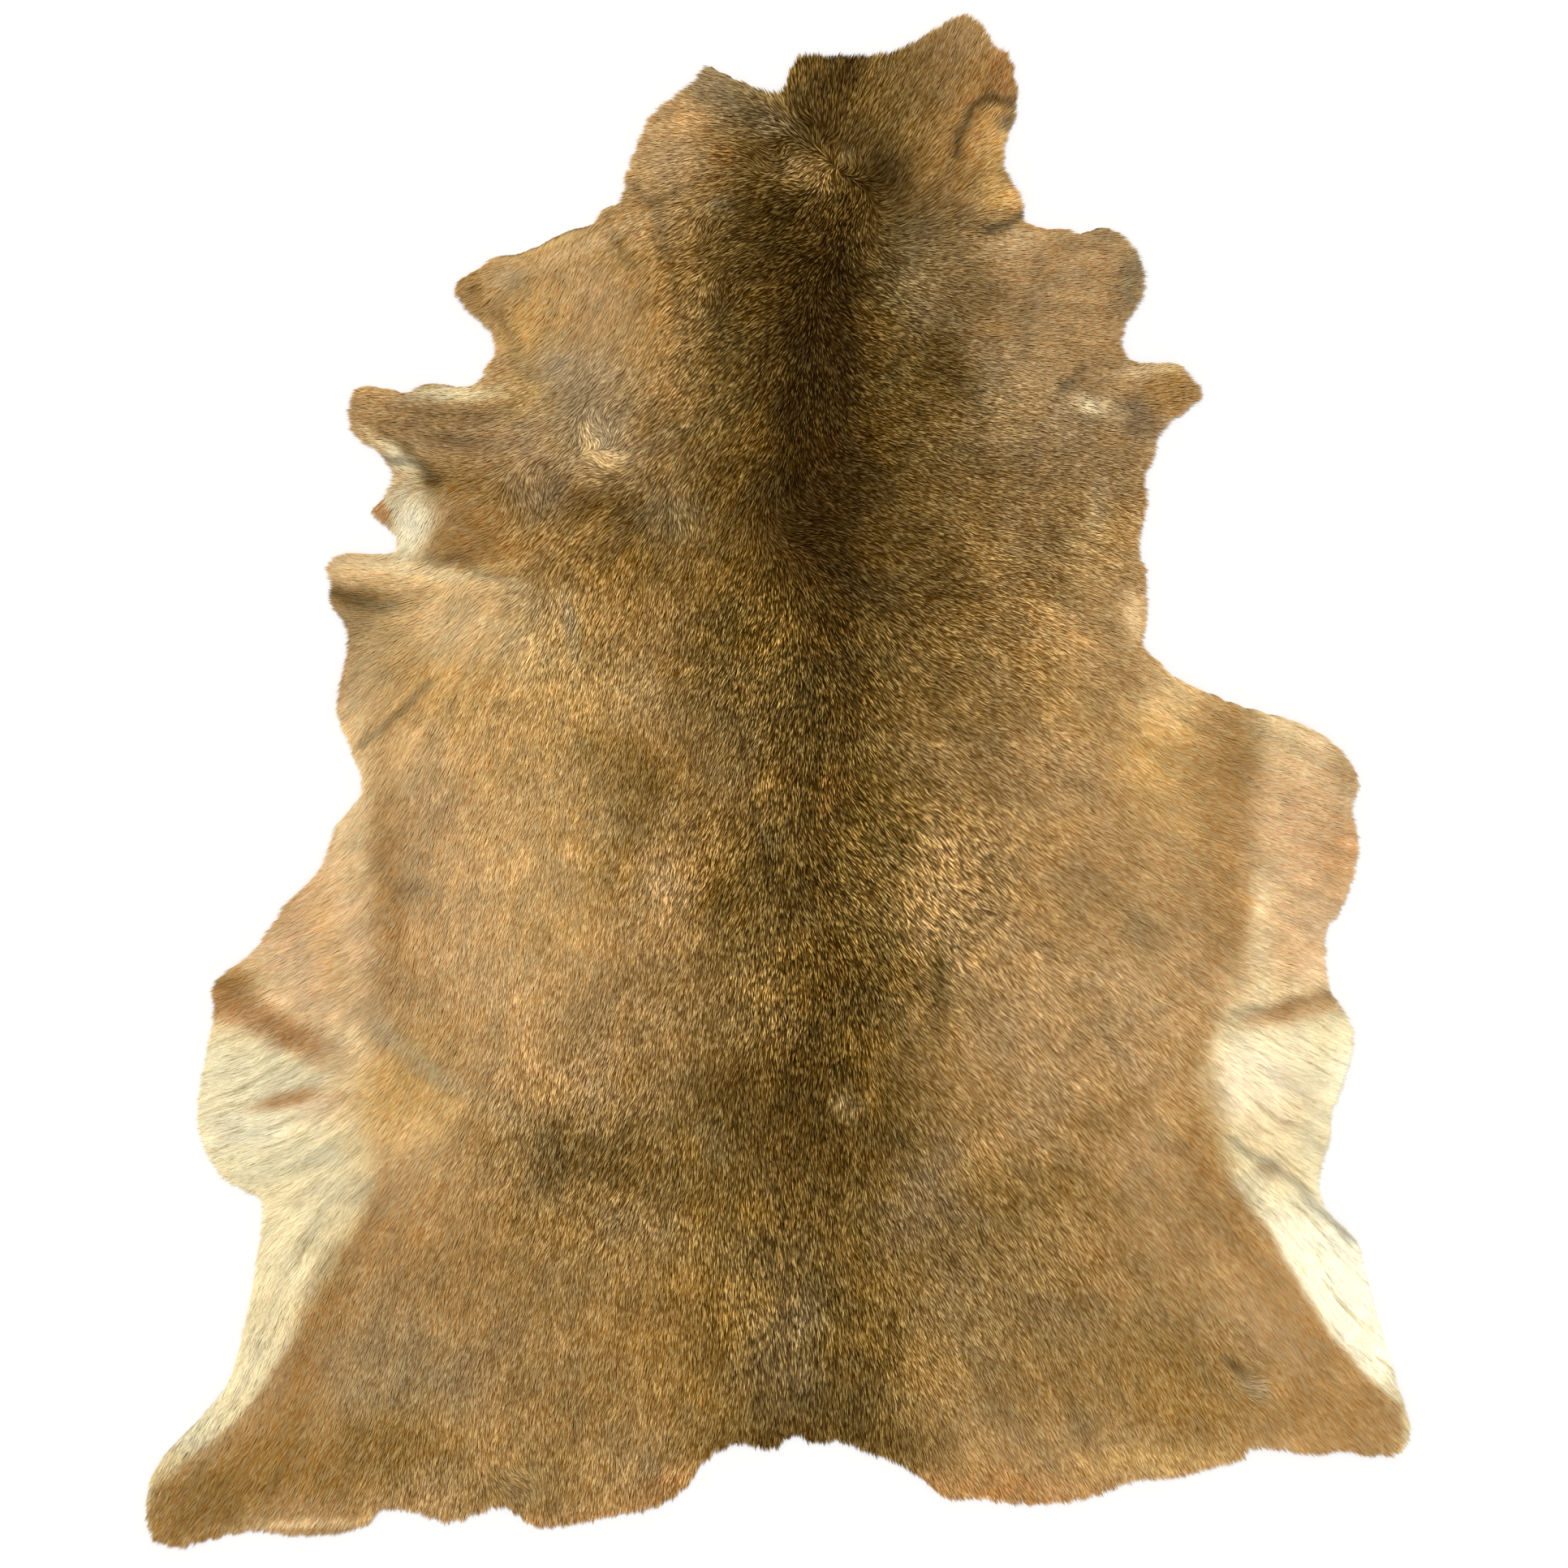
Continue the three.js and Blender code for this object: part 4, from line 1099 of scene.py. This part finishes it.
def folds(across, along):
    """How much lower the hair lies and how much painted shade it takes, lighter on ridges: a bell curve of
    the distance to each fold's route.
    """
    depth = np.zeros(across.shape)
    shade = np.zeros(across.shape)
    x = across + field("waver of the folds across", across, along) * FOLD_WAVER
    y = along + field("waver of the folds along", across, along) * FOLD_WAVER
    for _, route, width, deep, painted_shade in FOLDS:
        low = np.min(route, axis=0) - 3 * width
        high = np.max(route, axis=0) + 3 * width
        near = (x > low[0]) & (x < high[0]) & (y > low[1]) & (y < high[1])
        bell = np.exp(-((route_gap(x[near], y[near], route) / width) ** 2))
        depth[near] += deep * bell
        # Painted shade in the fold, or a painted highlight on a ridge where it is less than nothing.
        shade[near] += painted_shade * bell
    return depth, shade


def bed_height(across, along, pile):
    """Height of the skin under the hair, and of the hair on it, which thins out at the rim.

    The skin lies lower than the hide's upper face by the height of the hair and the depth of the folds.
    """
    top = ground().height.at(across, along)
    inside = ground().inside.at(across, along)
    cover = pile * np.clip(RIM_PILE + inside / WHOLE_PILE_REACH, LEAST_PILE, 1)
    depth, _ = folds(across, along)
    return np.maximum(top - cover - depth, LEAST_BED), cover


def on_skin(across, along, sizes):
    """Which places are far enough in from the rim for a root."""
    return ground().inside.at(across, along) > sizes.inset / MM * ROOT_ROOM


def roots(sizes):
    """Jittered points of a lattice whose rows are offset by half a step, where they lie on the skin."""
    step = sizes.spacing / MM
    low, high = (np.array(corner) / MM for corner in CAD_BOX)
    rows = np.arange(low[1], high[1], step * math.sqrt(0.75))
    columns = np.arange(low[0], high[0], step)
    across, along = np.meshgrid(columns, rows)
    across = across + (np.arange(len(rows)) % 2)[:, None] * step / 2
    draw = np.random.default_rng(sizes.seed)
    across = (across + draw.uniform(-ROOT_JITTER, ROOT_JITTER, across.shape) * step).ravel()
    along = (along + draw.uniform(-ROOT_JITTER, ROOT_JITTER, along.shape) * step).ravel()
    kept = on_skin(across, along, sizes)
    return across[kept], along[kept]


def stood_back(x, y, heading, length, sizes):
    """Roots moved back by a share of the hair's length where that is on the skin, to cover partings."""
    back_x = x - STAND_BACK * length * np.cos(heading)
    back_y = y - STAND_BACK * length * np.sin(heading)
    kept = on_skin(back_x, back_y, sizes)
    return np.where(kept, back_x, x), np.where(kept, back_y, y)


@dataclasses.dataclass
class Lie:
    """How each lock lies: its root, its reach from root to end, its heading and how mixed the coat is.

    Aside is how far to the left of it the middle of its wisp is, and own are its wisp's random numbers.
    """

    x: np.ndarray
    y: np.ndarray
    reach_x: np.ndarray
    reach_y: np.ndarray
    heading: np.ndarray
    mixed: np.ndarray
    aside: np.ndarray
    own: np.ndarray

    def up(self, part):
        """Places across and along at a share of each lock's length."""
        return self.x + part * self.reach_x, self.y + part * self.reach_y


def combed(x, y, sizes, draw):
    """The lie of the locks from these roots.

    The heading is the table's, turned by two random fields, by the wisp and by a draw of each lock's own.
    The reach is one length along it, drawn a little towards the middle line of the wisp.
    """
    heading, length, mixed = hair_lie(x, y)
    small = field("small turn of the hair", x, y) * (SMALL_TURN + MIXED_TURN * mixed)
    heading += np.radians(field("broad turn of the hair", x, y) * BROAD_TURN + small)
    ahead, aside, own = wisps(x, y, heading, sizes.wisp / MM, sizes.wisp_stretch, sizes.seed + 2)
    heading += np.radians(draw.normal(0, OWN_TURN, len(x)) + (own[:, 0] - 0.5) * WISP_TURN * mixed)
    length *= draw.uniform(*LOCK_LENGTHS, len(x)) * (WISP_LENGTH + WISP_LENGTH_RANGE * own[:, 1])
    x, y = stood_back(x, y, heading, length, sizes)
    gather = sizes.gather * (0.5 + 0.5 * mixed)
    forward = length + ahead * gather
    c = np.cos(heading)
    s = np.sin(heading)
    reach_x = c * forward - s * aside * gather
    reach_y = s * forward + c * aside * gather
    return Lie(x, y, reach_x, reach_y, heading, mixed, aside, own)


def cut_at_rim(lie, sizes, draw):
    """Shortens locks whose ends would pass the rim by more than a random share of the overhang."""
    inside = ground().inside.at(lie.x, lie.y)
    share_past = lie.own[:, 2] * WISP_PASS + draw.uniform(*LOCK_PASS, len(inside))
    past = sizes.overhang / MM * share_past
    out = inside - ground().inside.at(*lie.up(1))
    part = np.clip((inside + past) / np.maximum(out, 1e-6), LEAST_PART, 1)
    part = np.where(out > inside + past, part, 1)
    lie.reach_x *= part
    lie.reach_y *= part


def lock_shades(lie, sizes, draw):
    """Shade of each lock from 0 to 1: light and dark dashes along the hair, and a draw of its own."""
    dashes = streaks(*lie.up(SEEN), lie.heading, sizes.dash / MM, sizes.dash_reach / MM, sizes.seed + 3)
    return np.clip(0.5 + DASH_SHARE * dashes + draw.normal(0, OWN_SHADE, len(dashes)), 0, 1)


def leaf_corners(lie, strand, sizes, draw):
    """Corner points of every lock, which is a leaf of two triangles.

    Its root is on the skin, and its end is one reach on and one pile higher, less past the rim. Its sides
    stand off half a width where it is widest, and fall away from its ridge.
    """
    pile = sizes.pile / MM
    count = len(strand)
    length = np.hypot(lie.reach_x, lie.reach_y)
    mid_x, mid_y = lie.up(WIDEST)
    tip_x, tip_y = lie.up(1)
    root_bed, _ = bed_height(lie.x, lie.y, pile)
    mid_bed, mid_pile = bed_height(mid_x, mid_y, pile)
    tip_bed, tip_pile = bed_height(tip_x, tip_y, pile)
    lift = END_LIFT + lie.mixed * (LIGHT_LIFT * (strand - 0.5) - ASIDE_DROP * np.abs(lie.aside))
    lift += draw.uniform(*RANDOM_LIFT, count)
    outside = np.clip(-ground().inside.at(tip_x, tip_y) / RIM_HANG_REACH, 0, 1)
    root_z = root_bed - ROOT_SINK
    tip_z = np.maximum(tip_bed + tip_pile * lift - outside * RIM_HANG, LEAST_END)
    narrower = np.clip(length / WHOLE_WIDTH_LENGTH, LEAST_WIDTH, 1)
    wide = sizes.lock_width / MM * draw.uniform(*LOCK_WIDTHS, count) * narrower
    ridge_z = (1 - WIDEST) * root_z + WIDEST * tip_z
    side_z = np.maximum(ridge_z - sizes.lock_bow * wide, mid_bed + SIDE_PILE * mid_pile)
    tilt = draw.uniform(*LOCK_TILT, count) * wide * lie.mixed
    side_x = -lie.reach_y / length * wide / 2
    side_y = lie.reach_x / length * wide / 2
    corners = np.empty((count, 4, 3))
    corners[:, 0] = np.stack([lie.x, lie.y, root_z], axis=1)
    corners[:, 1] = np.stack([mid_x - side_x, mid_y - side_y, side_z - tilt], axis=1)
    corners[:, 2] = np.stack([tip_x, tip_y, tip_z], axis=1)
    corners[:, 3] = np.stack([mid_x + side_x, mid_y + side_y, side_z + tilt], axis=1)
    corners[:, :, 2] = np.maximum(corners[:, :, 2], LEAST_POINT)
    return corners


def locks(colours, sizes):
    """Corner points, amounts of light, shade and mixture of every lock.

    The coat's colour is read where a lock is widest, and the painted shade of the folds where it is seen.
    """
    draw = np.random.default_rng(sizes.seed + 1)
    lie = combed(*roots(sizes), sizes, draw)
    cut_at_rim(lie, sizes, draw)
    strand = lock_shades(lie, sizes, draw)
    corners = leaf_corners(lie, strand, sizes, draw)
    x, y = lie.up(WIDEST)
    stray = (lie.own[:, 2] - 0.5) * COLOUR_STRAY * lie.mixed
    paint = coat_paint(x + stray, y, lie.heading, lie.mixed, colours)
    # The folds' painted shade darkens the coat colour of each lock.
    _, shade = folds(*lie.up(SEEN))
    return corners, to_light(paint * (1 - shade)[:, None]), strand, lie.mixed


def put_values(mesh, name, kind, values):
    """Puts one number or colour for each point into the mesh, under a name that materials read."""
    layer = mesh.attributes.new(name, kind, "POINT")
    part = "color" if kind == "FLOAT_COLOR" else "value"
    layer.data.foreach_set(part, values.astype(np.float32).ravel())


def opaque(light):
    """Colours with a fourth value of 1, which is fully opaque."""
    return np.concatenate([light, np.ones((len(light), 1))], axis=1)


def mesh_of(name, points, triangles):
    """A smooth mesh of points in millimetres and triangles."""
    mesh = bpy.data.meshes.new(name)
    mesh.vertices.add(len(points))
    mesh.vertices.foreach_set("co", (points * MM).astype(np.float32).ravel())
    mesh.loops.add(triangles.size)
    mesh.loops.foreach_set("vertex_index", triangles.astype(np.int32).ravel())
    mesh.polygons.add(len(triangles))
    mesh.polygons.foreach_set("loop_start", np.arange(0, triangles.size, 3, dtype=np.int32))
    mesh.update(calc_edges=True)
    mesh.shade_smooth()
    return mesh


def in_scene(mesh):
    """An object of the mesh's name at the origin, shown in the scene."""
    piece = bpy.data.objects.new(mesh.name, mesh)
    bpy.context.scene.collection.objects.link(piece)
    return piece


def lock_map(mesh, count):
    """A UV map that gives each lock a square of its own, in rows."""
    columns = math.ceil(math.sqrt(count))
    number = np.arange(count)
    low = np.stack([number % columns, number // columns], axis=1)[:, None]
    leaf = np.array([(0.5, 0.12), (0.88, 0.55), (0.5, 0.88), (0.12, 0.55)])
    places = (low + leaf) / columns
    layer = mesh.uv_layers.new(name="OFBake")
    corner = np.empty(len(mesh.loops), np.int32)
    mesh.loops.foreach_get("vertex_index", corner)
    layer.data.foreach_set("uv", places.reshape(-1, 2)[corner].astype(np.float32).ravel())


def coat_piece(name, corners, light, strand, ticking, material):
    """One part of the coat as a mesh of leaves, with its colours as values on its points."""
    count = len(corners)
    first = np.arange(count)[:, None] * 4
    triangles = np.concatenate([first + [0, 1, 2], first + [0, 2, 3]], axis=1).reshape(-1, 3)
    mesh = mesh_of(name, corners.reshape(-1, 3), triangles)
    put_values(mesh, "coat", "FLOAT_COLOR", np.repeat(opaque(light), 4, axis=0))
    put_values(mesh, "strand", "FLOAT", np.repeat(strand, 4))
    put_values(mesh, "ticking", "FLOAT", np.repeat(ticking, 4))
    put_values(mesh, "up_hair", "FLOAT", np.tile([0.0, WIDEST, 1.0, WIDEST], count))
    lock_map(mesh, count)
    mesh.materials.append(material)
    return in_scene(mesh)


def socket(tree, name, way, kind, default=None):
    """Adds a named input or output to a node group."""
    made = tree.interface.new_socket(name=name, in_out=way, socket_type=kind)
    if default is not None:
        made.default_value = default


def add(tree, kind, values=(), **facts):
    """A node with its options and its unlinked input values."""
    node = tree.nodes.new(kind)
    for name, fact in facts.items():
        setattr(node, name, fact)
    for name, value in dict(values).items():
        node.inputs[name].default_value = value
    return node


def maths(tree, operation, first, second=0.5):
    """A maths node on two values, each a number or a socket."""
    node = add(tree, "ShaderNodeMath", operation=operation)
    for at, value in enumerate((first, second)):
        if isinstance(value, (int, float)):
            node.inputs[at].default_value = value
        else:
            tree.links.new(value, node.inputs[at])
    return node.outputs[0]


def scaled_colour(tree, colour, value):
    """A colour times a value."""
    node = add(tree, "ShaderNodeVectorMath", operation="SCALE")
    tree.links.new(colour, node.inputs[0])
    tree.links.new(value, node.inputs["Scale"])
    return node.outputs[0]


@functools.cache
def grain_group():
    """Node group, built once: a mask of fine and coarse grain on Object coordinates, and its height."""
    tree = bpy.data.node_groups.new("fine grain", "ShaderNodeTree")
    socket(tree, "Fine scale", "INPUT", "NodeSocketFloat", 900.0)
    socket(tree, "Coarse scale", "INPUT", "NodeSocketFloat", 60.0)
    socket(tree, "Mask", "OUTPUT", "NodeSocketFloat")
    socket(tree, "Height", "OUTPUT", "NodeSocketFloat")
    inside = tree.nodes.new("NodeGroupInput")
    outside = tree.nodes.new("NodeGroupOutput")
    place = tree.nodes.new("ShaderNodeTexCoord")
    fine = add(tree, "ShaderNodeTexNoise", {"Detail": 3.0, "Roughness": 0.6})
    coarse = add(tree, "ShaderNodeTexNoise", {"Detail": 4.0, "Roughness": 0.55})
    for name, node in (("Fine scale", fine), ("Coarse scale", coarse)):
        tree.links.new(place.outputs["Object"], node.inputs["Vector"])
        tree.links.new(inside.outputs[name], node.inputs["Scale"])
    mask = maths(tree, "MULTIPLY", fine.outputs["Fac"], coarse.outputs["Fac"])
    tree.links.new(maths(tree, "MULTIPLY", mask, 3.2), outside.inputs["Mask"])
    tree.links.new(fine.outputs["Fac"], outside.inputs["Height"])
    return tree


def lock_group():
    """Node group: colour of a lock, darker at its root, both its own darker base and painted shade deep in
    the pile, lighter at its end and unlike its neighbours.
    """
    tree = bpy.data.node_groups.new("lock of hair", "ShaderNodeTree")
    socket(tree, "Coat", "INPUT", "NodeSocketColor", (0.4, 0.25, 0.1, 1))
    socket(tree, "Up the hair", "INPUT", "NodeSocketFloat", 0.5)
    socket(tree, "Strand", "INPUT", "NodeSocketFloat", 0.5)
    socket(tree, "Ticking", "INPUT", "NodeSocketFloat", 0.5)
    socket(tree, "Root shade", "INPUT", "NodeSocketFloat", 0.5)
    socket(tree, "Mixed root shade", "INPUT", "NodeSocketFloat", 0.2)
    socket(tree, "End shade", "INPUT", "NodeSocketFloat", 1.2)
    socket(tree, "Gain", "INPUT", "NodeSocketFloat", 1.0)
    socket(tree, "Colour", "OUTPUT", "NodeSocketColor")
    socket(tree, "Roughness", "OUTPUT", "NodeSocketFloat")
    inside = tree.nodes.new("NodeGroupInput")
    outside = tree.nodes.new("NodeGroupOutput")
    # Root shade: the hair's own darker base together with painted shade deep in the pile, darker still
    # where the coat is mixed.
    root = add(tree, "ShaderNodeMapRange")
    tree.links.new(inside.outputs["Ticking"], root.inputs["Value"])
    tree.links.new(inside.outputs["Root shade"], root.inputs["To Min"])
    tree.links.new(inside.outputs["Mixed root shade"], root.inputs["To Max"])
    along = add(tree, "ShaderNodeMapRange")
    tree.links.new(inside.outputs["Up the hair"], along.inputs["Value"])
    tree.links.new(root.outputs["Result"], along.inputs["To Min"])
    tree.links.new(inside.outputs["End shade"], along.inputs["To Max"])
    off = maths(tree, "SUBTRACT", inside.outputs["Strand"], 0.5)
    reach = maths(tree, "POWER", inside.outputs["Ticking"], CONTRAST_GROWTH)
    swing = maths(tree, "MULTIPLY", off, reach)
    power = maths(tree, "POWER", CONTRAST, swing)
    shade = maths(tree, "MULTIPLY", along.outputs["Result"], power)
    shade = maths(tree, "MULTIPLY", shade, inside.outputs["Gain"])
    tint = add(tree, "ShaderNodeHueSaturation")
    vivid = add(tree, "ShaderNodeMapRange", {"To Min": 0.93, "To Max": 1.03})
    tree.links.new(inside.outputs["Ticking"], vivid.inputs["Value"])
    greyer = maths(tree, "MULTIPLY", off, LIGHT_GREY)
    tree.links.new(maths(tree, "SUBTRACT", vivid.outputs["Result"], greyer), tint.inputs["Saturation"])
    yellower = maths(tree, "MULTIPLY", off, LIGHT_HUE)
    tree.links.new(maths(tree, "ADD", yellower, COAT_HUE), tint.inputs["Hue"])
    tree.links.new(scaled_colour(tree, inside.outputs["Coat"], shade), tint.inputs["Color"])
    tree.links.new(tint.outputs["Color"], outside.inputs["Colour"])
    rough = add(tree, "ShaderNodeMapRange", {"To Min": 0.72, "To Max": 0.5})
    tree.links.new(inside.outputs["Strand"], rough.inputs["Value"])
    tree.links.new(rough.outputs["Result"], outside.inputs["Roughness"])
    return tree


def new_material(name, roughness=0.8, specular=0.3, sheen=0.0):
    """A material and its Principled shader, with what is the same all over set on the shader."""
    material = bpy.data.materials.new(name)
    material.use_nodes = True
    shader = material.node_tree.nodes["Principled BSDF"]
    shader.inputs["Roughness"].default_value = roughness
    shader.inputs["Specular IOR Level"].default_value = specular
    shader.inputs["Sheen Weight"].default_value = sheen
    return material, material.node_tree, shader


def placed_group(tree, group, values=()):
    """A node group placed in a material with its own values."""
    node = tree.nodes.new("ShaderNodeGroup")
    node.node_tree = group
    for name, value in dict(values).items():
        node.inputs[name].default_value = value
    return node


def hair_material(group):
    """Hair that takes its colour from the coat, with a faint gloss along each lock."""
    material, tree, shader = new_material("deer hair", specular=0.05)
    shader.inputs["Specular Tint"].default_value = (1.0, 0.78, 0.5, 1)
    shades = {"Root shade": 0.70, "Mixed root shade": 0.22, "End shade": 1.24, "Gain": 1.11}
    lock = placed_group(tree, group, shades)
    for name, target, output in (
        ("coat", "Coat", "Color"),
        ("up_hair", "Up the hair", "Fac"),
        ("strand", "Strand", "Fac"),
        ("ticking", "Ticking", "Fac"),
    ):
        value = add(tree, "ShaderNodeAttribute", attribute_name=name)
        tree.links.new(value.outputs[output], lock.inputs[target])
    tree.links.new(lock.outputs["Colour"], shader.inputs["Base Color"])
    tree.links.new(lock.outputs["Roughness"], shader.inputs["Roughness"])
    return material


def shaded_underfur_material(grain):
    """Short matt hair between the locks in painted shade: the coat's colour, much darker, with a fine
    grain.
    """
    material, tree, shader = new_material("underfur", roughness=0.95, specular=0.1)
    coat = add(tree, "ShaderNodeAttribute", attribute_name="coat")
    spots = placed_group(tree, grain, {"Fine scale": 1200.0, "Coarse scale": 90.0})
    # The coat's colour darkened to stand in for the shade between the locks.
    shade = maths(tree, "ADD", maths(tree, "MULTIPLY", spots.outputs["Mask"], 0.45), 0.15)
    tree.links.new(scaled_colour(tree, coat.outputs["Color"], shade), shader.inputs["Base Color"])
    bump = add(tree, "ShaderNodeBump", {"Strength": 0.6, "Distance": 0.0008})
    tree.links.new(spots.outputs["Height"], bump.inputs["Height"])
    tree.links.new(bump.outputs["Normal"], shader.inputs["Normal"])
    return material


def suede_material(grain, colour):
    """The tanned side of the skin: pale, blotched and softly fuzzy."""
    material, tree, shader = new_material("tanned skin", roughness=0.92, specular=0.15, sheen=0.2)
    light = to_light(np.array(colour))
    spots = placed_group(tree, grain, {"Fine scale": 700.0, "Coarse scale": 14.0})
    ramp = add(tree, "ShaderNodeValToRGB")
    low, high = ramp.color_ramp.elements
    low.position = 0.35
    high.position = 1.0
    low.color = (*(light * [0.72, 0.66, 0.58]), 1)
    high.color = (*np.minimum(light * [1.12, 1.10, 1.06], 1), 1)
    tree.links.new(spots.outputs["Mask"], ramp.inputs["Fac"])
    tree.links.new(ramp.outputs["Color"], shader.inputs["Base Color"])
    bump = add(tree, "ShaderNodeBump", {"Strength": 0.45, "Distance": 0.0006})
    tree.links.new(spots.outputs["Height"], bump.inputs["Height"])
    tree.links.new(bump.outputs["Normal"], shader.inputs["Normal"])
    return material


def floor_material(grain, colour):
    """A pale matt floor with the faintest grain."""
    material, tree, shader = new_material("pale floor", roughness=0.9, specular=0.1)
    light = to_light(np.array(colour))
    spots = placed_group(tree, grain, {"Fine scale": 300.0, "Coarse scale": 2.0})
    ramp = add(tree, "ShaderNodeValToRGB")
    ramp.color_ramp.elements[0].color = (*(light * 0.985), 1)
    ramp.color_ramp.elements[1].color = (*light, 1)
    tree.links.new(spots.outputs["Mask"], ramp.inputs["Fac"])
    tree.links.new(ramp.outputs["Color"], shader.inputs["Base Color"])
    return material


def skin_shape(sizes):
    """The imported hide's points, drawn in from its rim and lowered to the skin under the hair."""
    points = ground().points.copy()
    triangles = ground().triangles
    x, y, z = points.T
    inside = ground().inside.at(x, y)
    pull = sizes.inset / MM * np.clip(1 - inside / INSET_REACH, 0, 1)
    in_x, in_y = (raster.at(x, y) for raster in ground().inward)
    bed, _ = bed_height(x, y, sizes.pile / MM)
    upper = z > UNDERSIDE
    points[:, 0] = x + in_x * pull
    points[:, 1] = y + in_y * pull
    points[:, 2] = np.where(upper, bed, 0.0)
    return points, triangles, upper


class DEERHIDE_OT_skin(bpy.types.Operator):
    """Lays the tanned skin flat, with its fuzzy side down and a matt underfur on top, painted dark as the
    shade between the locks.
    """

    bl_idname = "deerhide.skin"
    bl_label = "Tanned skin"

    def execute(self, context):
        """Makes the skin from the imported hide's points."""
        colours, sizes, _ = settings()
        points, triangles, upper = skin_shape(sizes)
        mesh = mesh_of("skin", points, triangles)
        x, y, _ = points.T
        heading, _, mixed = hair_lie(x, y)
        light = to_light(coat_paint(x, y, heading, mixed, colours))
        put_values(mesh, "coat", "FLOAT_COLOR", opaque(light))
        mesh.materials.append(suede_material(grain_group(), colours.skin))
        mesh.materials.append(shaded_underfur_material(grain_group()))
        on_top = upper[triangles].all(axis=1)
        mesh.polygons.foreach_set("material_index", on_top.astype(np.int32))
        mesh.polygons.foreach_set("use_smooth", on_top)
        skin = in_scene(mesh)
        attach(skin, "root")
        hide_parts("hide")
        return {"FINISHED"}


class DEERHIDE_OT_hair(bpy.types.Operator):
    """Grows the coat: leaf-shaped locks over the whole skin, in one mesh for each part of the hide."""

    bl_idname = "deerhide.hair"
    bl_label = "Coat of hair"

    def execute(self, context):
        """Works out all locks at once, and shares them out by the place of their roots."""
        colours, sizes, _ = settings()
        corners, light, strand, ticking = locks(colours, sizes)
        material = hair_material(lock_group())
        x, y, _ = corners[:, 0].T
        for name, low, high, side in COAT_PARTS:
            here = (y >= low) & (y < high) & ((side == 0) | ((x >= 0) == (side > 0)))
            piece = coat_piece(name, corners[here], light[here], strand[here], ticking[here], material)
            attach(piece, "root")
        low, high = CAD_BOX
        return {"FINISHED"}


class DEERHIDE_OT_stage(bpy.types.Operator):
    """Sets a plain pale floor, soft light and the camera straight above the hide."""

    bl_idname = "deerhide.stage"
    bl_label = "Floor, light and camera"

    SENSOR = 36.0
    FLOOR_DROP = 0.0004
    KEY_TILT = math.radians(22)
    KEY_TURN = math.radians(35)
    KEY_SPREAD = math.radians(14)

    def execute(self, context):
        """Makes the floor, one soft lamp, the light from all sides and the camera."""
        _, _, stage = settings()
        self.set_floor(stage)
        self.set_light(context.scene, stage)
        self.set_camera(context.scene, stage)
        return {"FINISHED"}

    def set_floor(self, stage):
        """A square just under the skin."""
        half = stage.floor_side / 2 / MM
        drop = -self.FLOOR_DROP / MM
        corners = np.array([(-1, -1), (1, -1), (1, 1), (-1, 1)]) * half
        points = np.column_stack([corners, np.full(4, drop)])
        mesh = mesh_of("floor", points, np.array([(0, 1, 2), (0, 2, 3)]))
        mesh.materials.append(floor_material(grain_group(), stage.floor_colour))
        in_scene(mesh)

    def set_light(self, scene, stage):
        """A broad lamp from above on the left, and an even white sky."""
        lamp = bpy.data.lights.new("key", "SUN")
        lamp.energy = stage.key_power
        lamp.angle = self.KEY_SPREAD
        key = bpy.data.objects.new("key", lamp)
        key.rotation_euler = (self.KEY_TILT, 0, math.pi + self.KEY_TURN)
        scene.collection.objects.link(key)
        sky = bpy.data.worlds.new("sky")
        sky.use_nodes = True
        sky.node_tree.nodes["Background"].inputs["Color"].default_value = (1, 1, 1, 1)
        sky.node_tree.nodes["Background"].inputs["Strength"].default_value = stage.sky_power
        scene.world = sky
        scene.view_settings.view_transform = "Standard"

    def set_camera(self, scene, stage):
        """A camera that looks straight down, with the neck at the top of its frame."""
        lens = bpy.data.cameras.new("camera")
        lens.sensor_width = self.SENSOR
        lens.lens = self.SENSOR * stage.view_height / stage.view_side
        lens.clip_end = 100
        camera = bpy.data.objects.new("camera", lens)
        camera.location = (stage.view_across, stage.view_along, stage.view_height)
        scene.collection.objects.link(camera)
        scene.camera = camera


class DEERHIDE_PT_panel(bpy.types.Panel):
    """Sidebar panel with the hide's operators and settings."""

    bl_idname = "DEERHIDE_PT_panel"
    bl_label = "Deerhide rug"
    bl_space_type = "VIEW_3D"
    bl_region_type = "UI"
    bl_category = "Deerhide"

    def draw(self, context):
        """Lists the operators, then every setting."""
        for operator in OPERATORS:
            self.layout.operator(operator.bl_idname)
        for group in settings():
            box = self.layout.box()
            for name in group.__annotations__:
                box.prop(group, name)


OPERATORS = (DEERHIDE_OT_stage, DEERHIDE_OT_skin, DEERHIDE_OT_hair)
GROUPS = {"hide_colours": HideColours, "hide_sizes": HideSizes, "hide_stage": HideStage}


def register():
    """Registers every class and puts the settings on the scene."""
    for kind in (*GROUPS.values(), *OPERATORS, DEERHIDE_PT_panel):
        bpy.utils.register_class(kind)
    for name, group in GROUPS.items():
        setattr(bpy.types.Scene, name, PointerProperty(type=group))


def unregister():
    """Takes the settings off the scene and forgets every class."""
    for name in GROUPS:
        delattr(bpy.types.Scene, name)
    for kind in (DEERHIDE_PT_panel, *OPERATORS, *GROUPS.values()):
        bpy.utils.unregister_class(kind)


def main():
    """Builds the stage, the skin and the coat in order."""
    register()
    bpy.ops.deerhide.stage()
    bpy.ops.deerhide.skin()
    bpy.ops.deerhide.hair()


if __name__ == "__main__":
    main()
